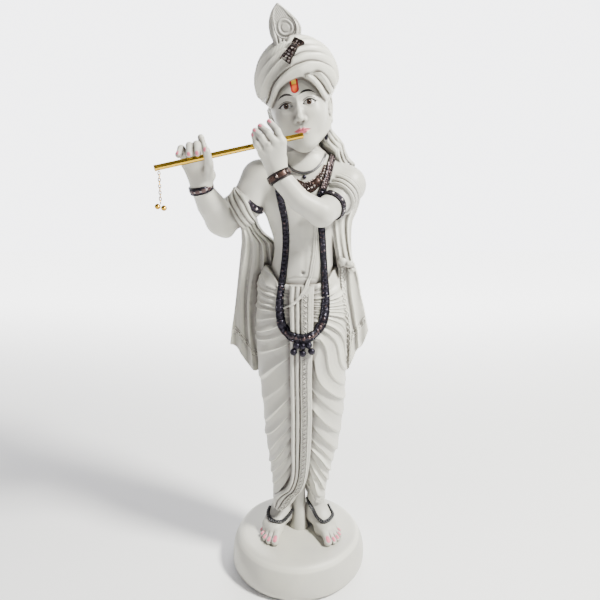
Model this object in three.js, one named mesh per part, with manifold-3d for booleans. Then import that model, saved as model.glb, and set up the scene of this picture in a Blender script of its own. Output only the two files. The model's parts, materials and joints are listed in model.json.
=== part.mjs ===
// A standing flute player in a turban, dhoti and shawl, cast in one with its round plinth.
// The flute, its chain with two bells, and the applied jewellery are separate pieces.
// Millimetres, +Z up. The origin is the centre of the plinth's underside and the figure looks along -Y.
import * as THREE from "three";
import { mergeVertices } from "three/addons/utils/BufferGeometryUtils.js";
import Module from "manifold-3d";

// Driving dimensions, in millimetres
const FIGURE_HEIGHT = 855; // from the plinth's top to the tip of the feather
const PLINTH_HEIGHT = 59;
const PLINTH_FOOT_DIAMETER = 236;
const PLINTH_TOP_DIAMETER = 204;
const PLINTH_EDGE_RADIUS = 6;
const FIT_GAP = 0.5; // round a piece that is let into the figure, and between two hung pieces
const SINK = 1.2; // of a glued piece's underside into the figure
const FLUTE_DIAMETER = 8;
const FLUTE_BORE = 5.6;
const FLUTE_LENGTH = 210;
const CHAIN_LENGTH = 42;
const CHAIN_BEAD_DIAMETER = 3.4;
const BELL_DIAMETER = 7.5;
const JEWEL_SCALE = FIGURE_HEIGHT / 855; // the jewellery keeps its proportion to the figure
const MALA_WIDTH = 11.5 * JEWEL_SCALE;
const MALA_LOW_WIDTH = 15.5 * JEWEL_SCALE; // at its lowest place
const MALA_THICKNESS = 5.5 * JEWEL_SCALE;
const MALA_BEAD_DIAMETER = 11.5 * JEWEL_SCALE;
const CHOKER_WIDTH = 4 * JEWEL_SCALE;
const CHOKER_THICKNESS = 3 * JEWEL_SCALE;
const CHOKER_BEAD_DIAMETER = 7 * JEWEL_SCALE;
const COLLAR_WIDTH = 19 * JEWEL_SCALE;
const COLLAR_THICKNESS = 3 * JEWEL_SCALE;
const BRACELET_WIDTH = 13 * JEWEL_SCALE;
const ARMLET_WIDTH = 12 * JEWEL_SCALE;
const ANKLET_WIDTH = 6.5 * JEWEL_SCALE;
const RING_THICKNESS = 4 * JEWEL_SCALE;
const EARRING_DIAMETER = 6 * JEWEL_SCALE;
const EARRING_LENGTH = 23 * JEWEL_SCALE;
const BROOCH_LENGTH = 37 * JEWEL_SCALE;
const BROOCH_WIDTH = 18 * JEWEL_SCALE;
const BROOCH_WAIST = 12 * JEWEL_SCALE; // width at its middle
const BROOCH_THICKNESS = 5 * JEWEL_SCALE;

// Fineness of the modelled surface
const FIELD_CELL = 2.9; // grid step of the figure's distance field, in thousandths of its height
const FIGURE_TRIANGLES = 4400;

const wasm = await Module();
wasm.setup();

// The figure is modelled in thousandths of its own height: x to the viewer's right, y away from the
// viewer, z up from the plinth's top. A form is a function of a point that gives its distance from a surface.
const UNIT = FIGURE_HEIGHT / 1000;
const clamp = (v, lo, hi) => Math.min(hi, Math.max(lo, v));
const length3 = (x, y, z) => Math.sqrt(x * x + y * y + z * z);
const smoothstep = (a, b, v) => {
  const t = clamp((v - a) / (b - a), 0, 1);
  return t * t * (3 - 2 * t);
};

// A smooth curve of values against one coordinate, through knots [coordinate, value, value, ...]
function along(knots) {
  const n = knots.length - 1;
  return (v, column) => {
    let i = 0;
    while (i < n - 1 && v > knots[i + 1][0]) i++;
    const t = clamp((v - knots[i][0]) / (knots[i + 1][0] - knots[i][0]), 0, 1);
    const before = knots[Math.max(i - 1, 0)];
    const after = knots[Math.min(i + 2, n)];
    const p = knots[i][column];
    const q = knots[i + 1][column];
    const step = knots[i + 1][0] - knots[i][0];
    const startSlope = ((q - before[column]) / (knots[i + 1][0] - before[0])) * step;
    const endSlope = ((after[column] - p) / (after[0] - knots[i][0])) * step;
    const t2 = t * t;
    const t3 = t2 * t;
    return (
      (2 * t3 - 3 * t2 + 1) * p + (t3 - 2 * t2 + t) * startSlope +
      (3 * t2 - 2 * t3) * q + (t3 - t2) * endSlope
    );
  };
}

// Elementary forms
const ball = ([cx, cy, cz], [rx, ry, rz]) => (x, y, z) => {
  const a = (x - cx) / rx;
  const b = (y - cy) / ry;
  const c = (z - cz) / rz;
  const inner = length3(a, b, c);
  return (inner * (inner - 1)) / (length3(a / rx, b / ry, c / rz) + 1e-9);
};

function limb([ax, ay, az], [bx, by, bz], startRadius, endRadius) {
  const dx = bx - ax;
  const dy = by - ay;
  const dz = bz - az;
  const square = dx * dx + dy * dy + dz * dz;
  return (x, y, z) => {
    const t = clamp(((x - ax) * dx + (y - ay) * dy + (z - az) * dz) / square, 0, 1);
    return (
      length3(x - ax - dx * t, y - ay - dy * t, z - az - dz * t) -
      startRadius - (endRadius - startRadius) * t
    );
  };
}

// A chain of limbs through points, with one radius for each point
function chain(points, radii) {
  const parts = points.slice(1).map((p, i) => limb(points[i], p, radii[i], radii[i + 1]));
  return (x, y, z) => {
    let d = Infinity;
    for (const part of parts) d = Math.min(d, part(x, y, z));
    return d;
  };
}

// A smooth joint of several forms, rounded over the given width
function blend(width, ...forms) {
  return (x, y, z) => {
    let d = forms[0](x, y, z);
    for (let i = 1; i < forms.length; i++) {
      const e = forms[i](x, y, z);
      const h = Math.max(width - Math.abs(d - e), 0) / width;
      d = Math.min(d, e) - (h * h * width) / 4;
    }
    return d;
  };
}

// A form in a frame that is turned about three axes and moved to a centre
function framed([cx, cy, cz], turn, form) {
  const m = new THREE.Matrix4().makeRotationFromEuler(turn).transpose().elements;
  return (x, y, z) => {
    const u = x - cx;
    const v = y - cy;
    const w = z - cz;
    return form(
      m[0] * u + m[4] * v + m[8] * w,
      m[1] * u + m[5] * v + m[9] * w,
      m[2] * u + m[6] * v + m[10] * w,
    );
  };
}

// One fold of cloth: it swells slowly to a crest and drops quickly to the next fold
function fold(phase) {
  const t = phase - Math.floor(phase);
  return t < 0.8 ? (t / 0.8) ** 2.6 : 1 - smoothstep(0.8, 1, t);
}

// The distance to where two walls meet, with a rounded edge
function rounded(side, flat, edge) {
  const a = Math.max(side + edge, 0);
  const b = Math.max(flat + edge, 0);
  return Math.sqrt(a * a + b * b) + Math.min(Math.max(side, flat) + edge, 0) - edge;
}

// Head, turned in its own frame: x to the viewer's right, y back, z up from between the ears
const HEAD_CENTRE = [4, -2, 835];
const HEAD_TURN = new THREE.Euler(0.03, THREE.MathUtils.degToRad(-11), -0.07);
const EYE_SPACING = 20;

function face() {
  const skull = blend(
    24,
    ball([0, 6, 16], [50, 62, 58]),
    ball([0, -14, -18], [42, 46, 56]),
    ball([0, -37, -58], [18, 17, 17]),
  );
  const soft = blend(
    9,
    skull,
    limb([0, -60, 4], [0, -71, -30], 5, 6.5),
    ball([0, -67, -33], [10, 8, 6]),
    limb([-12, -57, -50], [12, -57, -50], 4.5, 4.5),
    limb([-8, -56, -55], [8, -56, -55], 5, 5),
    limb([-27, -51, 13], [27, -51, 13], 6, 6),
  );
  const sockets = [-1, 1].map((side) => ball([side * EYE_SPACING, -66, 0], [13, 12, 8]));
  const eyes = [-1, 1].map((side) => ball([side * EYE_SPACING, -49.5, 0], [11, 9.5, 8]));
  return (x, y, z) => {
    let d = soft(x, y, z);
    for (const socket of sockets) {
      const cut = -socket(x, y, z);
      const h = Math.max(7 - Math.abs(d - cut), 0) / 7;
      d = Math.max(d, cut) + (h * h * 7) / 4;
    }
    for (const eye of eyes) d = Math.min(d, eye(x, y, z));
    return d;
  };
}

function ears() {
  const sides = [-1, 1].map((side) =>
    blend(
      5,
      chain(
        [[side * 52, 4, 8], [side * 55, 12, 2], [side * 54, 10, -14], [side * 52, 3, -30]],
        [5, 5.5, 5, 4.5],
      ),
    ),
  );
  return (x, y, z) => Math.min(sides[0](x, y, z), sides[1](x, y, z));
}

// Turban: rolls that fan out from an axis through both ears, over a dome. Two narrow rolls lie under
// the wide one that crosses the forehead, on the viewer's right.
const ROLL_EDGES = [
  // across, angle from the level of the ears, one curve for each edge from the brow up
  [[-62, -0.5], [-50, -0.2], [-40, 0.1], [-32, 0.22], [-25, 0.3], [-16, 0.37], [-7, 0.4], [2, 0.42], [17, 0.42],
    [27, 0.32], [36, 0.18], [42, 0.04], [46, -0.14], [50, -0.45], [62, -0.7]],
  [[-62, -0.48], [-50, -0.13], [-40, 0.15], [-32, 0.27], [-25, 0.35], [-16, 0.41], [-7, 0.44], [2, 0.47], [17, 0.48],
    [27, 0.52], [34, 0.52], [42, 0.47], [50, 0.38], [56, 0.2], [60, 0], [70, -0.4]],
  [[-62, -0.46], [-50, -0.11], [-40, 0.17], [-32, 0.29], [-25, 0.37], [-16, 0.43], [-7, 0.46], [2, 0.49], [17, 0.51],
    [28, 0.55], [39, 0.59], [53, 0.62], [64, 0.66], [74, 0.7]],
  [[-74, 0.35], [-53, 0.42], [-46, 0.45], [-35, 0.52], [-24, 0.56], [-11, 0.6], [2, 0.64], [18, 0.68], [32, 0.73],
    [50, 0.79], [63, 0.86], [74, 1]],
  [[-74, 0.74], [-60, 0.68], [-51, 0.66], [-40, 0.69], [-28, 0.72], [-18, 0.75], [10, 0.8], [24, 0.86], [43, 0.93],
    [61, 1.05], [74, 1.2]],
  [[-74, 1], [-57, 0.88], [-46, 0.86], [-32, 0.87], [-17, 0.9], [17, 0.97], [36, 1.06], [54, 1.18], [74, 1.4]],
  [[-74, 1.25], [-58, 1.12], [-43, 1.06], [-21, 1.04], [17, 1.14], [36, 1.26], [54, 1.4], [74, 1.6]],
  [[-74, 1.55], [-43, 1.35], [-21, 1.3], [17, 1.36], [36, 1.48], [54, 1.62], [74, 1.85]],
];
const BRIM = [
  // across, height above the ears' level
  [-66, -2], [-50, -1], [-42, 9], [-33, 21], [-25, 30], [-10, 37], [0, 39], [12, 41], [18, 39], [33, 25], [40, 12],
  [44, -2], [49, -9], [56, -14], [68, -12],
];
const TURBAN_NAPE_ANGLE = 3.35;
const TURBAN_RELIEF = 9.5;
const TURBAN_BACK_ANGLE = 0.26; // of a roll behind the last edge

function turban() {
  const dome = ball([3, 6, 49], [67, 72, 63]);
  const edges = ROLL_EDGES.map(along);
  const brimAt = along(BRIM);
  const hump = (t) => Math.abs(Math.sin(Math.PI * t)) ** 0.62;
  const swellAt = (x, angle) => {
    let low = edges[0](x, 1);
    if (angle < low) return 0;
    for (let k = 0; k < edges.length - 1; k++) {
      const high = edges[k + 1](x, 1);
      if (angle < high) {
        const width = Math.max(high - low, 0.002);
        const t = clamp((angle - low) / width, 0, 1);
        const left = k >= 3 ? smoothstep(8, -6, x) : 0;
        const lapped = 0.25 + 0.75 * t ** 1.4 * smoothstep(1, 0.86, t);
        const height = hump(t) * (1 - left) + lapped * left;
        return height * (0.15 + 0.85 * smoothstep(0.02, 0.22, width)) * smoothstep(0, 0.1, width);
      }
      low = high;
    }
    return 0.85 * hump((angle - low) / TURBAN_BACK_ANGLE);
  };
  return (x, y, z) => {
    const turned = Math.atan2(z, -(y - 8));
    const reach = Math.hypot(y - 8, z);
    let angle = turned < -1.6 ? turned + 2 * Math.PI : turned;
    if (y < 4 && angle < 1.2) angle = Math.asin(clamp(z / Math.max(reach, 70 - 0.008 * x * x), -1, 1));
    const d = dome(x, y, z) - TURBAN_RELIEF * swellAt(x, angle) * smoothstep(12, 40, reach);
    const brim = brimAt(x, 1);
    const front = y < 8 ? (brim < 0 ? brim * smoothstep(8, -14, y) : brim) - z : -9;
    return rounded(Math.max(front, (angle - TURBAN_NAPE_ANGLE) * Math.max(reach, 12)), d, 4.5);
  };
}

// Peacock feather: a leaf with grooves that rise to its tip, and a ringed eye
const FEATHER_OUTLINE = [
  // height, half width
  [-14, 12], [0, 14], [19, 21], [32, 26.5], [43, 27.5], [54, 23.5], [64, 16.5], [72, 9], [79, 1.5],
];
const FEATHER_EYE_HEIGHT = 41;
const FEATHER_EYE_RADIUS = 11.7;
const FEATHER_LEAN = 13; // of the tip to the viewer's left

function feather() {
  const outline = along(FEATHER_OUTLINE);
  const tip = FEATHER_OUTLINE[FEATHER_OUTLINE.length - 1][0];
  return (fromMiddle, y, z) => {
    const x = fromMiddle + FEATHER_LEAN * smoothstep(36, 86, z);
    const half = outline(clamp(z, -14, tip), 1);
    const ring = Math.hypot(x - 1, z - FEATHER_EYE_HEIGHT) / FEATHER_EYE_RADIUS;
    const eye = 2.2 * smoothstep(0.25, 0, Math.abs(ring - 1)) + 2.4 * smoothstep(0.6, 0.2, ring);
    const spread = Math.abs(x) / (half + 2);
    const ribs = ring > 1.2 ? 1.8 * Math.abs(Math.sin(Math.PI * spread * 2.6)) : 0;
    const side = Math.max((Math.abs(x) - half) * 0.85, -z - 14, z - tip);
    const flat = Math.abs(y) - 5 - (y < 0 ? eye + ribs : 0) * smoothstep(0, 8, half - Math.abs(x));
    return rounded(side, flat, 2.5) * 0.85;
  };
}

// Wavy locks from the nape to the shoulders
function hair() {
  const locks = [];
  const count = 7;
  for (let i = 0; i < count; i++) {
    const t = i / (count - 1);
    const points = [];
    const radii = [];
    const reachX = -46 + 138 * t;
    const drop = 118 + 26 * Math.sin(Math.PI * t);
    for (let j = 0; j <= 7; j++) {
      const s = j / 7;
      const wave = 5 * Math.sin(s * 9 + i * 1.9);
      points.push([
        -26 + 62 * t + (reachX - (-26 + 62 * t)) * s + wave,
        44 - 12 * (t - 0.4) * (t - 0.4) - 44 * s * smoothstep(0.6, 1, t) + 4 * Math.sin(s * 7 + i),
        842 - drop * s ** 0.9 - 20 * s,
      ]);
      radii.push(14 - 6 * s * s);
    }
    locks.push(chain(points, radii));
  }
  return blend(6, ...locks);
}

// Bare body above the waist
const TORSO = [
  // height, centre x, centre y, half width, half depth
  [480, 6, 4, 66, 44],
  [540, 8, 0, 60, 41],
  [590, 12, 0, 56, 39],
  [640, 8, -1, 65, 42],
  [690, 6, -1, 76, 42],
  [725, 6, 3, 62, 34],
  [755, 8, 6, 36, 28],
];
const NECK_RADIUS = 31;
const SHOULDERS = [[-68, 0, 711], [92, 0, 701]];
const UPPER_ARMS = [[-92, -15, 669], [68, -40, 669]];
const ELBOWS = [[-136, -42, 640], [40, -88, 651]];
const FOREARMS = [[-149, -76, 667], [3, -98, 673]];
const WRISTS = [[-159, -103, 693], [-32, -106, 714]];

function torso() {
  const section = along(TORSO);
  const trunk = (x, y, z) => {
    const h = clamp(z, TORSO[0][0], TORSO[TORSO.length - 1][0]);
    const rx = section(h, 3);
    const ry = section(h, 4);
    const a = (x - section(h, 1)) / rx;
    const b = (y - section(h, 2)) / ry;
    const inner = Math.sqrt(a * a + b * b);
    const wall = (inner * (inner - 1)) / (Math.sqrt((a * a) / (rx * rx) + (b * b) / (ry * ry)) + 1e-9);
    return Math.max(wall, z - TORSO[TORSO.length - 1][0], TORSO[0][0] - z);
  };
  const body = blend(
    16,
    trunk,
    limb([9, 6, 720], [7, 2, 800], NECK_RADIUS, NECK_RADIUS - 3),
    ball([-30, -18, 676], [38, 25, 34]),
    ball([44, -18, 676], [38, 25, 34]),
    limb(SHOULDERS[0], [0, 4, 718], 35, 32),
    limb(SHOULDERS[1], [20, 2, 714], 33, 32),
    limb([85, 5, 710], [14, 12, 751], 25, 26),
  );
  const navel = ball([9, -46, 543], [5, 9, 4]);
  return (x, y, z) => Math.max(body(x, y, z), -navel(x, y, z));
}

const farArm = chain([SHOULDERS[0], UPPER_ARMS[0], ELBOWS[0]], [36, 31, 29]);
const nearArm = chain([SHOULDERS[1], UPPER_ARMS[1], ELBOWS[1]], [33, 24, 22]);

function arms() {
  return blend(
    6,
    farArm,
    limb(ELBOWS[0], [-130, -37, 622], 22, 16),
    chain([ELBOWS[0], FOREARMS[0], WRISTS[0]], [28, 24, 17]),
    nearArm,
    chain([ELBOWS[1], FOREARMS[1], WRISTS[1]], [22.5, 19, 17]),
  );
}

// Hands. Each finger is three joints' places and a radius.
const FINGER_RADIUS = 6.4;
const FAR_FINGERS = [
  [[-148, -118, 740], [-149, -124, 756], [-152, -126, 770]],
  [[-158, -120, 739], [-157, -136, 758], [-153, -153, 744]],
  [[-169, -120, 736], [-168, -137, 756], [-165, -156, 742]],
  [[-179, -118, 731], [-182, -133, 752], [-184, -145, 742]],
];
const FAR_THUMB = [[-143, -114, 713], [-138, -141, 730], [-139, -154, 747]];
const NEAR_FINGERS = [
  [[-25, -121, 764], [-32, -124, 780], [-44, -114, 795]],
  [[-35, -124, 762], [-46, -130, 776], [-58, -121, 787]],
  [[-46, -124, 754], [-56, -132, 769], [-66, -125, 780]],
  [[-55, -121, 747], [-64, -130, 761], [-68, -125, 774]],
];
const NEAR_THUMB = [[-27, -100, 740], [-25, -90, 754], [-38, -88, 766]];

function hand(wrist, fingers, thumb, palmDepth) {
  const knuckle = (i, share) => fingers[i][0].map((v, k) => v * share + wrist[k] * (1 - share));
  const palm = [0, 1, 2, 3].map((i) => limb(knuckle(i, 0.05), knuckle(i, 0.98), palmDepth + 4, palmDepth - 1));
  const heel = limb(wrist.map((v, k) => v * 0.6 + thumb[0][k] * 0.4), thumb[0], palmDepth + 4, palmDepth + 1);
  const digits = fingers.map((f) => chain(f, [FINGER_RADIUS + 0.8, FINGER_RADIUS, FINGER_RADIUS - 1]));
  const thumbChain = chain(thumb, [FINGER_RADIUS + 3, FINGER_RADIUS + 0.8, FINGER_RADIUS - 0.4]);
  return blend(4, blend(8, ...palm, heel), blend(1.8, ...digits), thumbChain);
}

// Dhoti: two wrapped legs below the hips. Its folds fan out from the middle of the hips: each is
// numbered, with its height at the outer side of the leg and at the pleats.
const LEGS = [
  // height, centre x, centre y, half width, half depth, for the viewer's left and right
  [[40, -31, 12, 24, 25], [82, -30, 12, 24, 28], [137, -28, 9, 30, 34], [200, -24, 5, 42, 42],
    [281, -22, 0, 50, 51], [364, -25, 0, 55, 56], [440, -25, 1, 58, 58], [500, -20, 2, 59, 51],
    [525, -18, 2, 60, 46], [545, -14, 2, 55, 43], [570, -10, 2, 48, 40]],
  [[40, 36, 10, 22, 25], [82, 36, 10, 24, 28], [137, 40, 6, 30, 34], [200, 42, 2, 43, 43],
    [281, 44, -2, 50, 52], [364, 44, -2, 53, 57], [440, 42, 0, 54, 58], [500, 36, 2, 54, 51],
    [545, 30, 2, 48, 43], [570, 26, 2, 46, 40]],
];
const OUTER_FOLDS = [
  [[73, 19], [96, 18], [121, 17], [148, 16], [172, 15], [210, 14], [240, 13], [285, 12], [330, 11],
    [390, 9.8], [414, 8.8], [430, 7.8], [452, 6.8], [476, 5.8], [491, 4.8], [507, 3.8], [518, 2.8], [531, 1.8],
    [541, 0.8], [548, -0.2], [556, -1.2]],
  [[60, 22], [69, 21], [82, 20], [105, 19], [128, 18], [150, 17], [177, 16], [216, 15], [255, 14], [291, 13],
    [325, 11.8], [354, 10.8], [379, 9.8], [405, 8.8], [433, 7.8], [456, 6.8], [470, 5.8], [481, 4.8], [495, 3.8],
    [513, 2.8], [538, 1.8], [550, 0.8], [562, -0.2]],
];
const INNER_FOLDS = [
  [[100, 20], [135, 19], [173, 18], [211, 17], [240, 16], [265, 15], [297, 14], [325, 13], [367, 12], [397, 11],
    [430, 9.8], [449, 8.8], [458, 7.8], [466, 6.8], [472, 5.8], [478, 4.8], [486, 3.8], [497, 2.8], [504, 1.8],
    [509, 0.8], [514, -0.2], [520, -1.2]],
  [[112, 22], [140, 21], [165, 20], [184, 19], [200, 18], [223, 17], [256, 16], [297, 15], [335, 14], [375, 13],
    [424, 11.8], [444, 10.8], [456, 9.8], [464, 8.8], [470, 7.8], [474, 6.8], [478, 5.8], [482, 4.8], [486, 3.8],
    [491, 2.8], [497, 1.8], [506, 0.8], [521, -0.2]],
];
const HEM_HEIGHT = 58;
const WAIST_HEIGHT = 520; // at the front
const WAIST_SIDE_HEIGHT = 553;
const FOLD_DEPTH = 6.5;
const STEEP_FOLDS = [[440, 500], [330, 420]]; // heights over which each leg's folds turn steeper at their outer end

function leg(side) {
  const section = along(LEGS[side]);
  const outer = along(OUTER_FOLDS[side]);
  const inner = along(INNER_FOLDS[side]);
  const outward = side ? 1 : -1;
  return (x, y, z) => {
    const h = clamp(z, HEM_HEIGHT, WAIST_SIDE_HEIGHT);
    const u = (x - section(h, 1)) * outward;
    const v = -(y - section(h, 2));
    const rx = section(h, 3);
    const ry = section(h, 4);
    const reach = Math.sqrt((u / rx) ** 2 + (v / ry) ** 2) + 1e-9;
    const wall = (reach * (reach - 1)) / (Math.sqrt((u / (rx * rx)) ** 2 + (v / (ry * ry)) ** 2) + 1e-9);
    const turn = v > 0 ? Math.atan2(v, u) : -Math.atan2(v, u) * 0.35;
    const steep = smoothstep(...STEEP_FOLDS[side], h);
    const share = clamp((turn - 0.35 + 0.2 * steep) / (1.75 - 0.3 * steep), 0, 1) ** (1.7 - 0.8 * steep);
    const countAt = (height) => outer(height, 1) * (1 - share) + inner(height, 1) * share;
    const count = countAt(h);
    const spacing = 8 / (Math.abs(countAt(h + 4) - countAt(h - 4)) + 0.1);
    const top = WAIST_HEIGHT + (WAIST_SIDE_HEIGHT - WAIST_HEIGHT) * smoothstep(6, 50, u);
    const low = HEM_HEIGHT + (side ? 46 * smoothstep(8, -26, u) * smoothstep(-20, 10, v) : 0);
    const strength = smoothstep(top + 4, top - 16, h) * smoothstep(low, low + 30, h);
    const uneven = 0.72 + 0.28 * Math.sin(count * 2.4 + turn * 1.3 + side);
    const room = clamp(spacing / 15, 0.25, 1);
    const depth = FOLD_DEPTH * strength * (0.45 + 0.55 * smoothstep(0.1, 0.8, turn)) * uneven * room;
    const end = Math.max(z - top, low - z);
    const skin = wall + 2.5 - fold(count) * depth;
    return rounded(end, skin, 4);
  };
}

// Pleats that hang down the front, with a plain border strip on their right
const PLEATS = [
  // height, centre x, half width, front y
  [56, -41, 9, -26], [66, -34, 17, -28], [75, -29, 20, -29], [90, -20, 18, -33], [105, -7, 16, -37],
  [140, 3, 16, -45], [200, 6, 19, -53],
  [281, 7, 20, -60], [348, 6, 20, -65], [440, 7, 21, -66], [500, 7, 22, -60], [521, 8, 22, -54],
];

function pleats() {
  const path = along(PLEATS);
  const [low, high] = [PLEATS[0][0], PLEATS[PLEATS.length - 1][0]];
  return (x, y, z) => {
    const h = clamp(z, low, high);
    const half = path(h, 2);
    const across = (x - path(h, 1)) / half;
    const ridge = across < -0.12
      ? 4.5 * Math.abs(Math.sin(Math.PI * (across + 1.02) * 2.22)) ** 0.7
      : 4.5 * smoothstep(-0.12, -0.02, across) * (1 - 0.3 * smoothstep(0.75, 0.78, across));
    const front = path(h, 3) + 12 * smoothstep(115, 75, h) * Math.max(-across, 0) ** 1.5;
    const dx = Math.abs(across) * half - half;
    const dy = Math.abs(y - front - 14) - 14 - (y < front + 14 ? ridge : 0);
    return Math.max(rounded(dx, dy, 3), z - high, low - z);
  };
}

function waistCloth() {
  return chain(
    [[-50, -22, 525], [-20, -43, 517], [8, -47, 516], [36, -43, 518], [66, -22, 527]],
    [5, 5, 5, 5, 5],
  );
}

// Feet, each turned outward, with five toes: the place of each toe's tip and its radius
const FEET = [
  {
    ankle: [-31, 12],
    ball: [-50, -32],
    toes: [[-46, -66, 9], [-59, -61, 7], [-68, -51, 6.4], [-74, -38, 6], [-76, -23, 5.6]],
  },
  {
    ankle: [37, 10],
    ball: [57, -34],
    toes: [[61, -67, 9], [73, -61, 7], [81, -52, 6.4], [86, -40, 6], [87, -26, 5.6]],
  },
];

function foot({ ankle: [ax, ay], ball: [bx, by], toes }) {
  const digits = toes.map(([x, y, radius]) => {
    const back = 22 + radius;
    const away = Math.hypot(x - ax, y - ay);
    const dx = (ax - x) / away;
    const dy = (ay - y) / away;
    return chain(
      [
        [x + dx * radius * 0.6, y + dy * radius * 0.6, radius * 0.85],
        [x + dx * back * 0.55, y + dy * back * 0.55, radius + 4],
        [x + dx * back * 1.3, y + dy * back * 1.3, radius + 5],
      ],
      [radius * 0.95, radius * 0.8, radius],
    );
  });
  const side = Math.sign(bx - ax);
  const sole = blend(
    14,
    limb([ax, ay, 70], [ax, ay - 2, 28], 18, 19),
    limb([ax + side * 16, ay - 7, 33], [ax + side * 32, ay - 25, 18], 14, 11),
    ball([ax - (bx - ax) * 0.15, ay + 14, 14], [18, 20, 16]),
    limb([ax, ay - 6, 27], [bx, by, 13], 18, 13),
    limb([bx - (by - ay) * 0.18, by + 2, 11], [bx + (by - ay) * 0.3, by + 8, 8], 10, 8),
  );
  const form = blend(3, sole, blend(0.8, ...digits));
  return (x, y, z) => Math.max(form(x, y, z), -2 - z);
}

// Support cast between the feet, under the end of the pleats
const support = () => blend(6, limb([3, 10, 110], [3, 6, 50], 13, 12), limb([3, 6, 50], [3, 4, 0], 12, 20));

// Shawl: folds round each upper arm, hanging ends at both sides, and a swag across the back
const LEFT_WRAP = [
  // height, left edge, right edge
  [596, -101, -58], [620, -101, -66], [636, -106, -74], [655, -115, -82], [667, -122, -86], [676, -124, -91],
  [684, -122, -97], [692, -118, -106], [700, -116, -114],
];

// Over the crook of the far arm, with folds that run down and inward
function leftWrap() {
  const path = along(LEFT_WRAP);
  return (x, y, z) => {
    const h = clamp(z, 596, 700);
    const left = path(h, 1);
    const right = path(h, 2);
    const across = clamp((x - left) / Math.max(right - left, 2), 0, 1);
    const phase = 3.3 * across ** 0.9 + 0.16 * Math.sin(z / 11) + 0.02 * (z - 640);
    const wave = Math.abs(Math.sin(Math.PI * phase)) ** 0.8;
    const side = Math.max(left - x, x - right, 596 - z, z - 698);
    return rounded(side * 0.8, farArm(x, y, z) - 3 - 3.6 * wave, 2.5);
  };
}

// Round the near arm above its armlet, with folds that follow the arm
const rightWrap = (x, y, z) => {
  const [ax, ay, az] = UPPER_ARMS[1];
  const along = (x - ax) * 0.42 + (y - ay) * 0.71 + (z - az) * 0.565;
  const s = along + 5 * smoothstep(690, 640, z) - 4 * smoothstep(96, 60, x);
  const phase = (clamp(s, 8, 44) - 8) / 36;
  const wave = Math.abs(Math.sin(Math.PI * 3.6 * phase ** 0.85)) ** 0.7;
  return rounded(Math.max(9 - s, s - 42), nearArm(x, y, z) - 2.5 - 4.2 * wave * smoothstep(1, 0.6, phase), 3);
};

// A hanging sheet: left and right edge and mid depth at each height, with folds that fan downwards
function hanging(edges, hem, thickness, count, depth) {
  const path = along(edges);
  const low = edges[0][0];
  const high = edges[edges.length - 1][0];
  return (x, y, z) => {
    const h = clamp(z, low, high);
    const left = path(h, 1);
    const right = path(h, 2);
    const across = clamp((x - left) / (right - left), -0.2, 1.2);
    const middle = path(h, 3) + (path(h, 4) - path(h, 3)) * across;
    const phase = 2 * Math.PI * count * (across + 0.05 * Math.sin(h / 37 + 4 * across)) + 0.012 * (h - low);
    const strong = 0.62 + 0.38 * Math.sin(0.5 * phase + h / 60 + 1);
    const wave = depth * strong * (2 * Math.abs(Math.sin(0.5 * phase)) ** 1.3 - 0.9);
    const dy = Math.abs(y - middle - wave) - thickness / 2;
    const dx = Math.max(left - x, x - right);
    const dz = Math.max(hem(x) - z, z - high);
    const side = Math.max(dx, dz);
    return rounded(side, dy * 0.75, 3);
  };
}

const LEFT_END = [
  // height, left edge, right edge, depth at the left, depth at the right
  [330, -140, -40, 4, 34], [397, -133, -40, 2, 34], [471, -122, -40, 0, 34], [540, -113, -38, -2, 34],
  [590, -106, -38, -10, 30], [600, -104, -46, -14, 26], [612, -102, -61, -22, 14], [626, -103, -71, -34, 0],
  [640, -107, -76, -46, -12], [655, -115, -83, -52, -20],
];
const RIGHT_END = [
  [345, 84, 140, -14, 10], [421, 86, 139, -16, 8], [445, 84, 134, -16, 8], [467, 82, 130, -16, 8],
  [498, 78, 122, -14, 8], [531, 75, 117, -12, 8], [548, 75, 112, -12, 8], [562, 73, 106, -12, 10],
  [600, 66, 102, -14, 12], [635, 62, 104, -18, 12], [655, 63, 112, -18, 10], [674, 66, 117, -14, 8],
];
const SWAG_TOP = [
  // across, height
  [-117, 676], [-96, 660], [-84, 646], [-74, 626], [-62, 606], [-48, 597], [-22, 578], [5, 570], [32, 578],
  [60, 602], [90, 650], [117, 684],
];
const SWAG_DEPTH = 190;

function shawl() {
  const leftHem = (x) => 335 + 62 * smoothstep(-84, -134, x) - 14 * smoothstep(-84, -40, x);
  const rightHem = (x) =>
    348 + 22 * smoothstep(96, 112, x) + 20 * smoothstep(108, 120, x) + 34 * smoothstep(124, 142, x);
  const leftSheet = hanging(LEFT_END, leftHem, 13, 4.5, 5);
  const rightSheet = hanging(RIGHT_END, rightHem, 14, 3, 4);
  const swagTop = along(SWAG_TOP);
  const swag = (x, y, z) => {
    const across = (x + 5) / 110;
    const top = swagTop(clamp(x, -117, 117), 1);
    const middle = 44 - 34 * across ** 4;
    const crest = 4 * fold((top - z) / 30);
    const dy = Math.abs(y - middle) - 8 - (y > middle ? crest : 0);
    const side = Math.max(Math.abs(x + 5) - 103, top - SWAG_DEPTH - z + 30 * across * across, z - top) * 0.8;
    return rounded(side, dy * 0.8, 4);
  };
  return blend(
    5,
    leftSheet,
    rightSheet,
    swag,
    leftWrap(),
    rightWrap,
    blend(2, ball([84, -19, 561], [9, 9, 8]), ball([97, -21, 557], [10, 9, 7]), ball([101, -18, 547], [8, 8, 6])),
  );
}

const headForm = framed(HEAD_CENTRE, HEAD_TURN, blend(3, face(), ears()));
const turbanForm = framed(HEAD_CENTRE, HEAD_TURN, turban());
const torsoForm = torso();
const legsForm = blend(8, leg(0), leg(1));
const pleatsForm = pleats();
const feetForms = FEET.map(foot);
const armsForm = arms();

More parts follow.
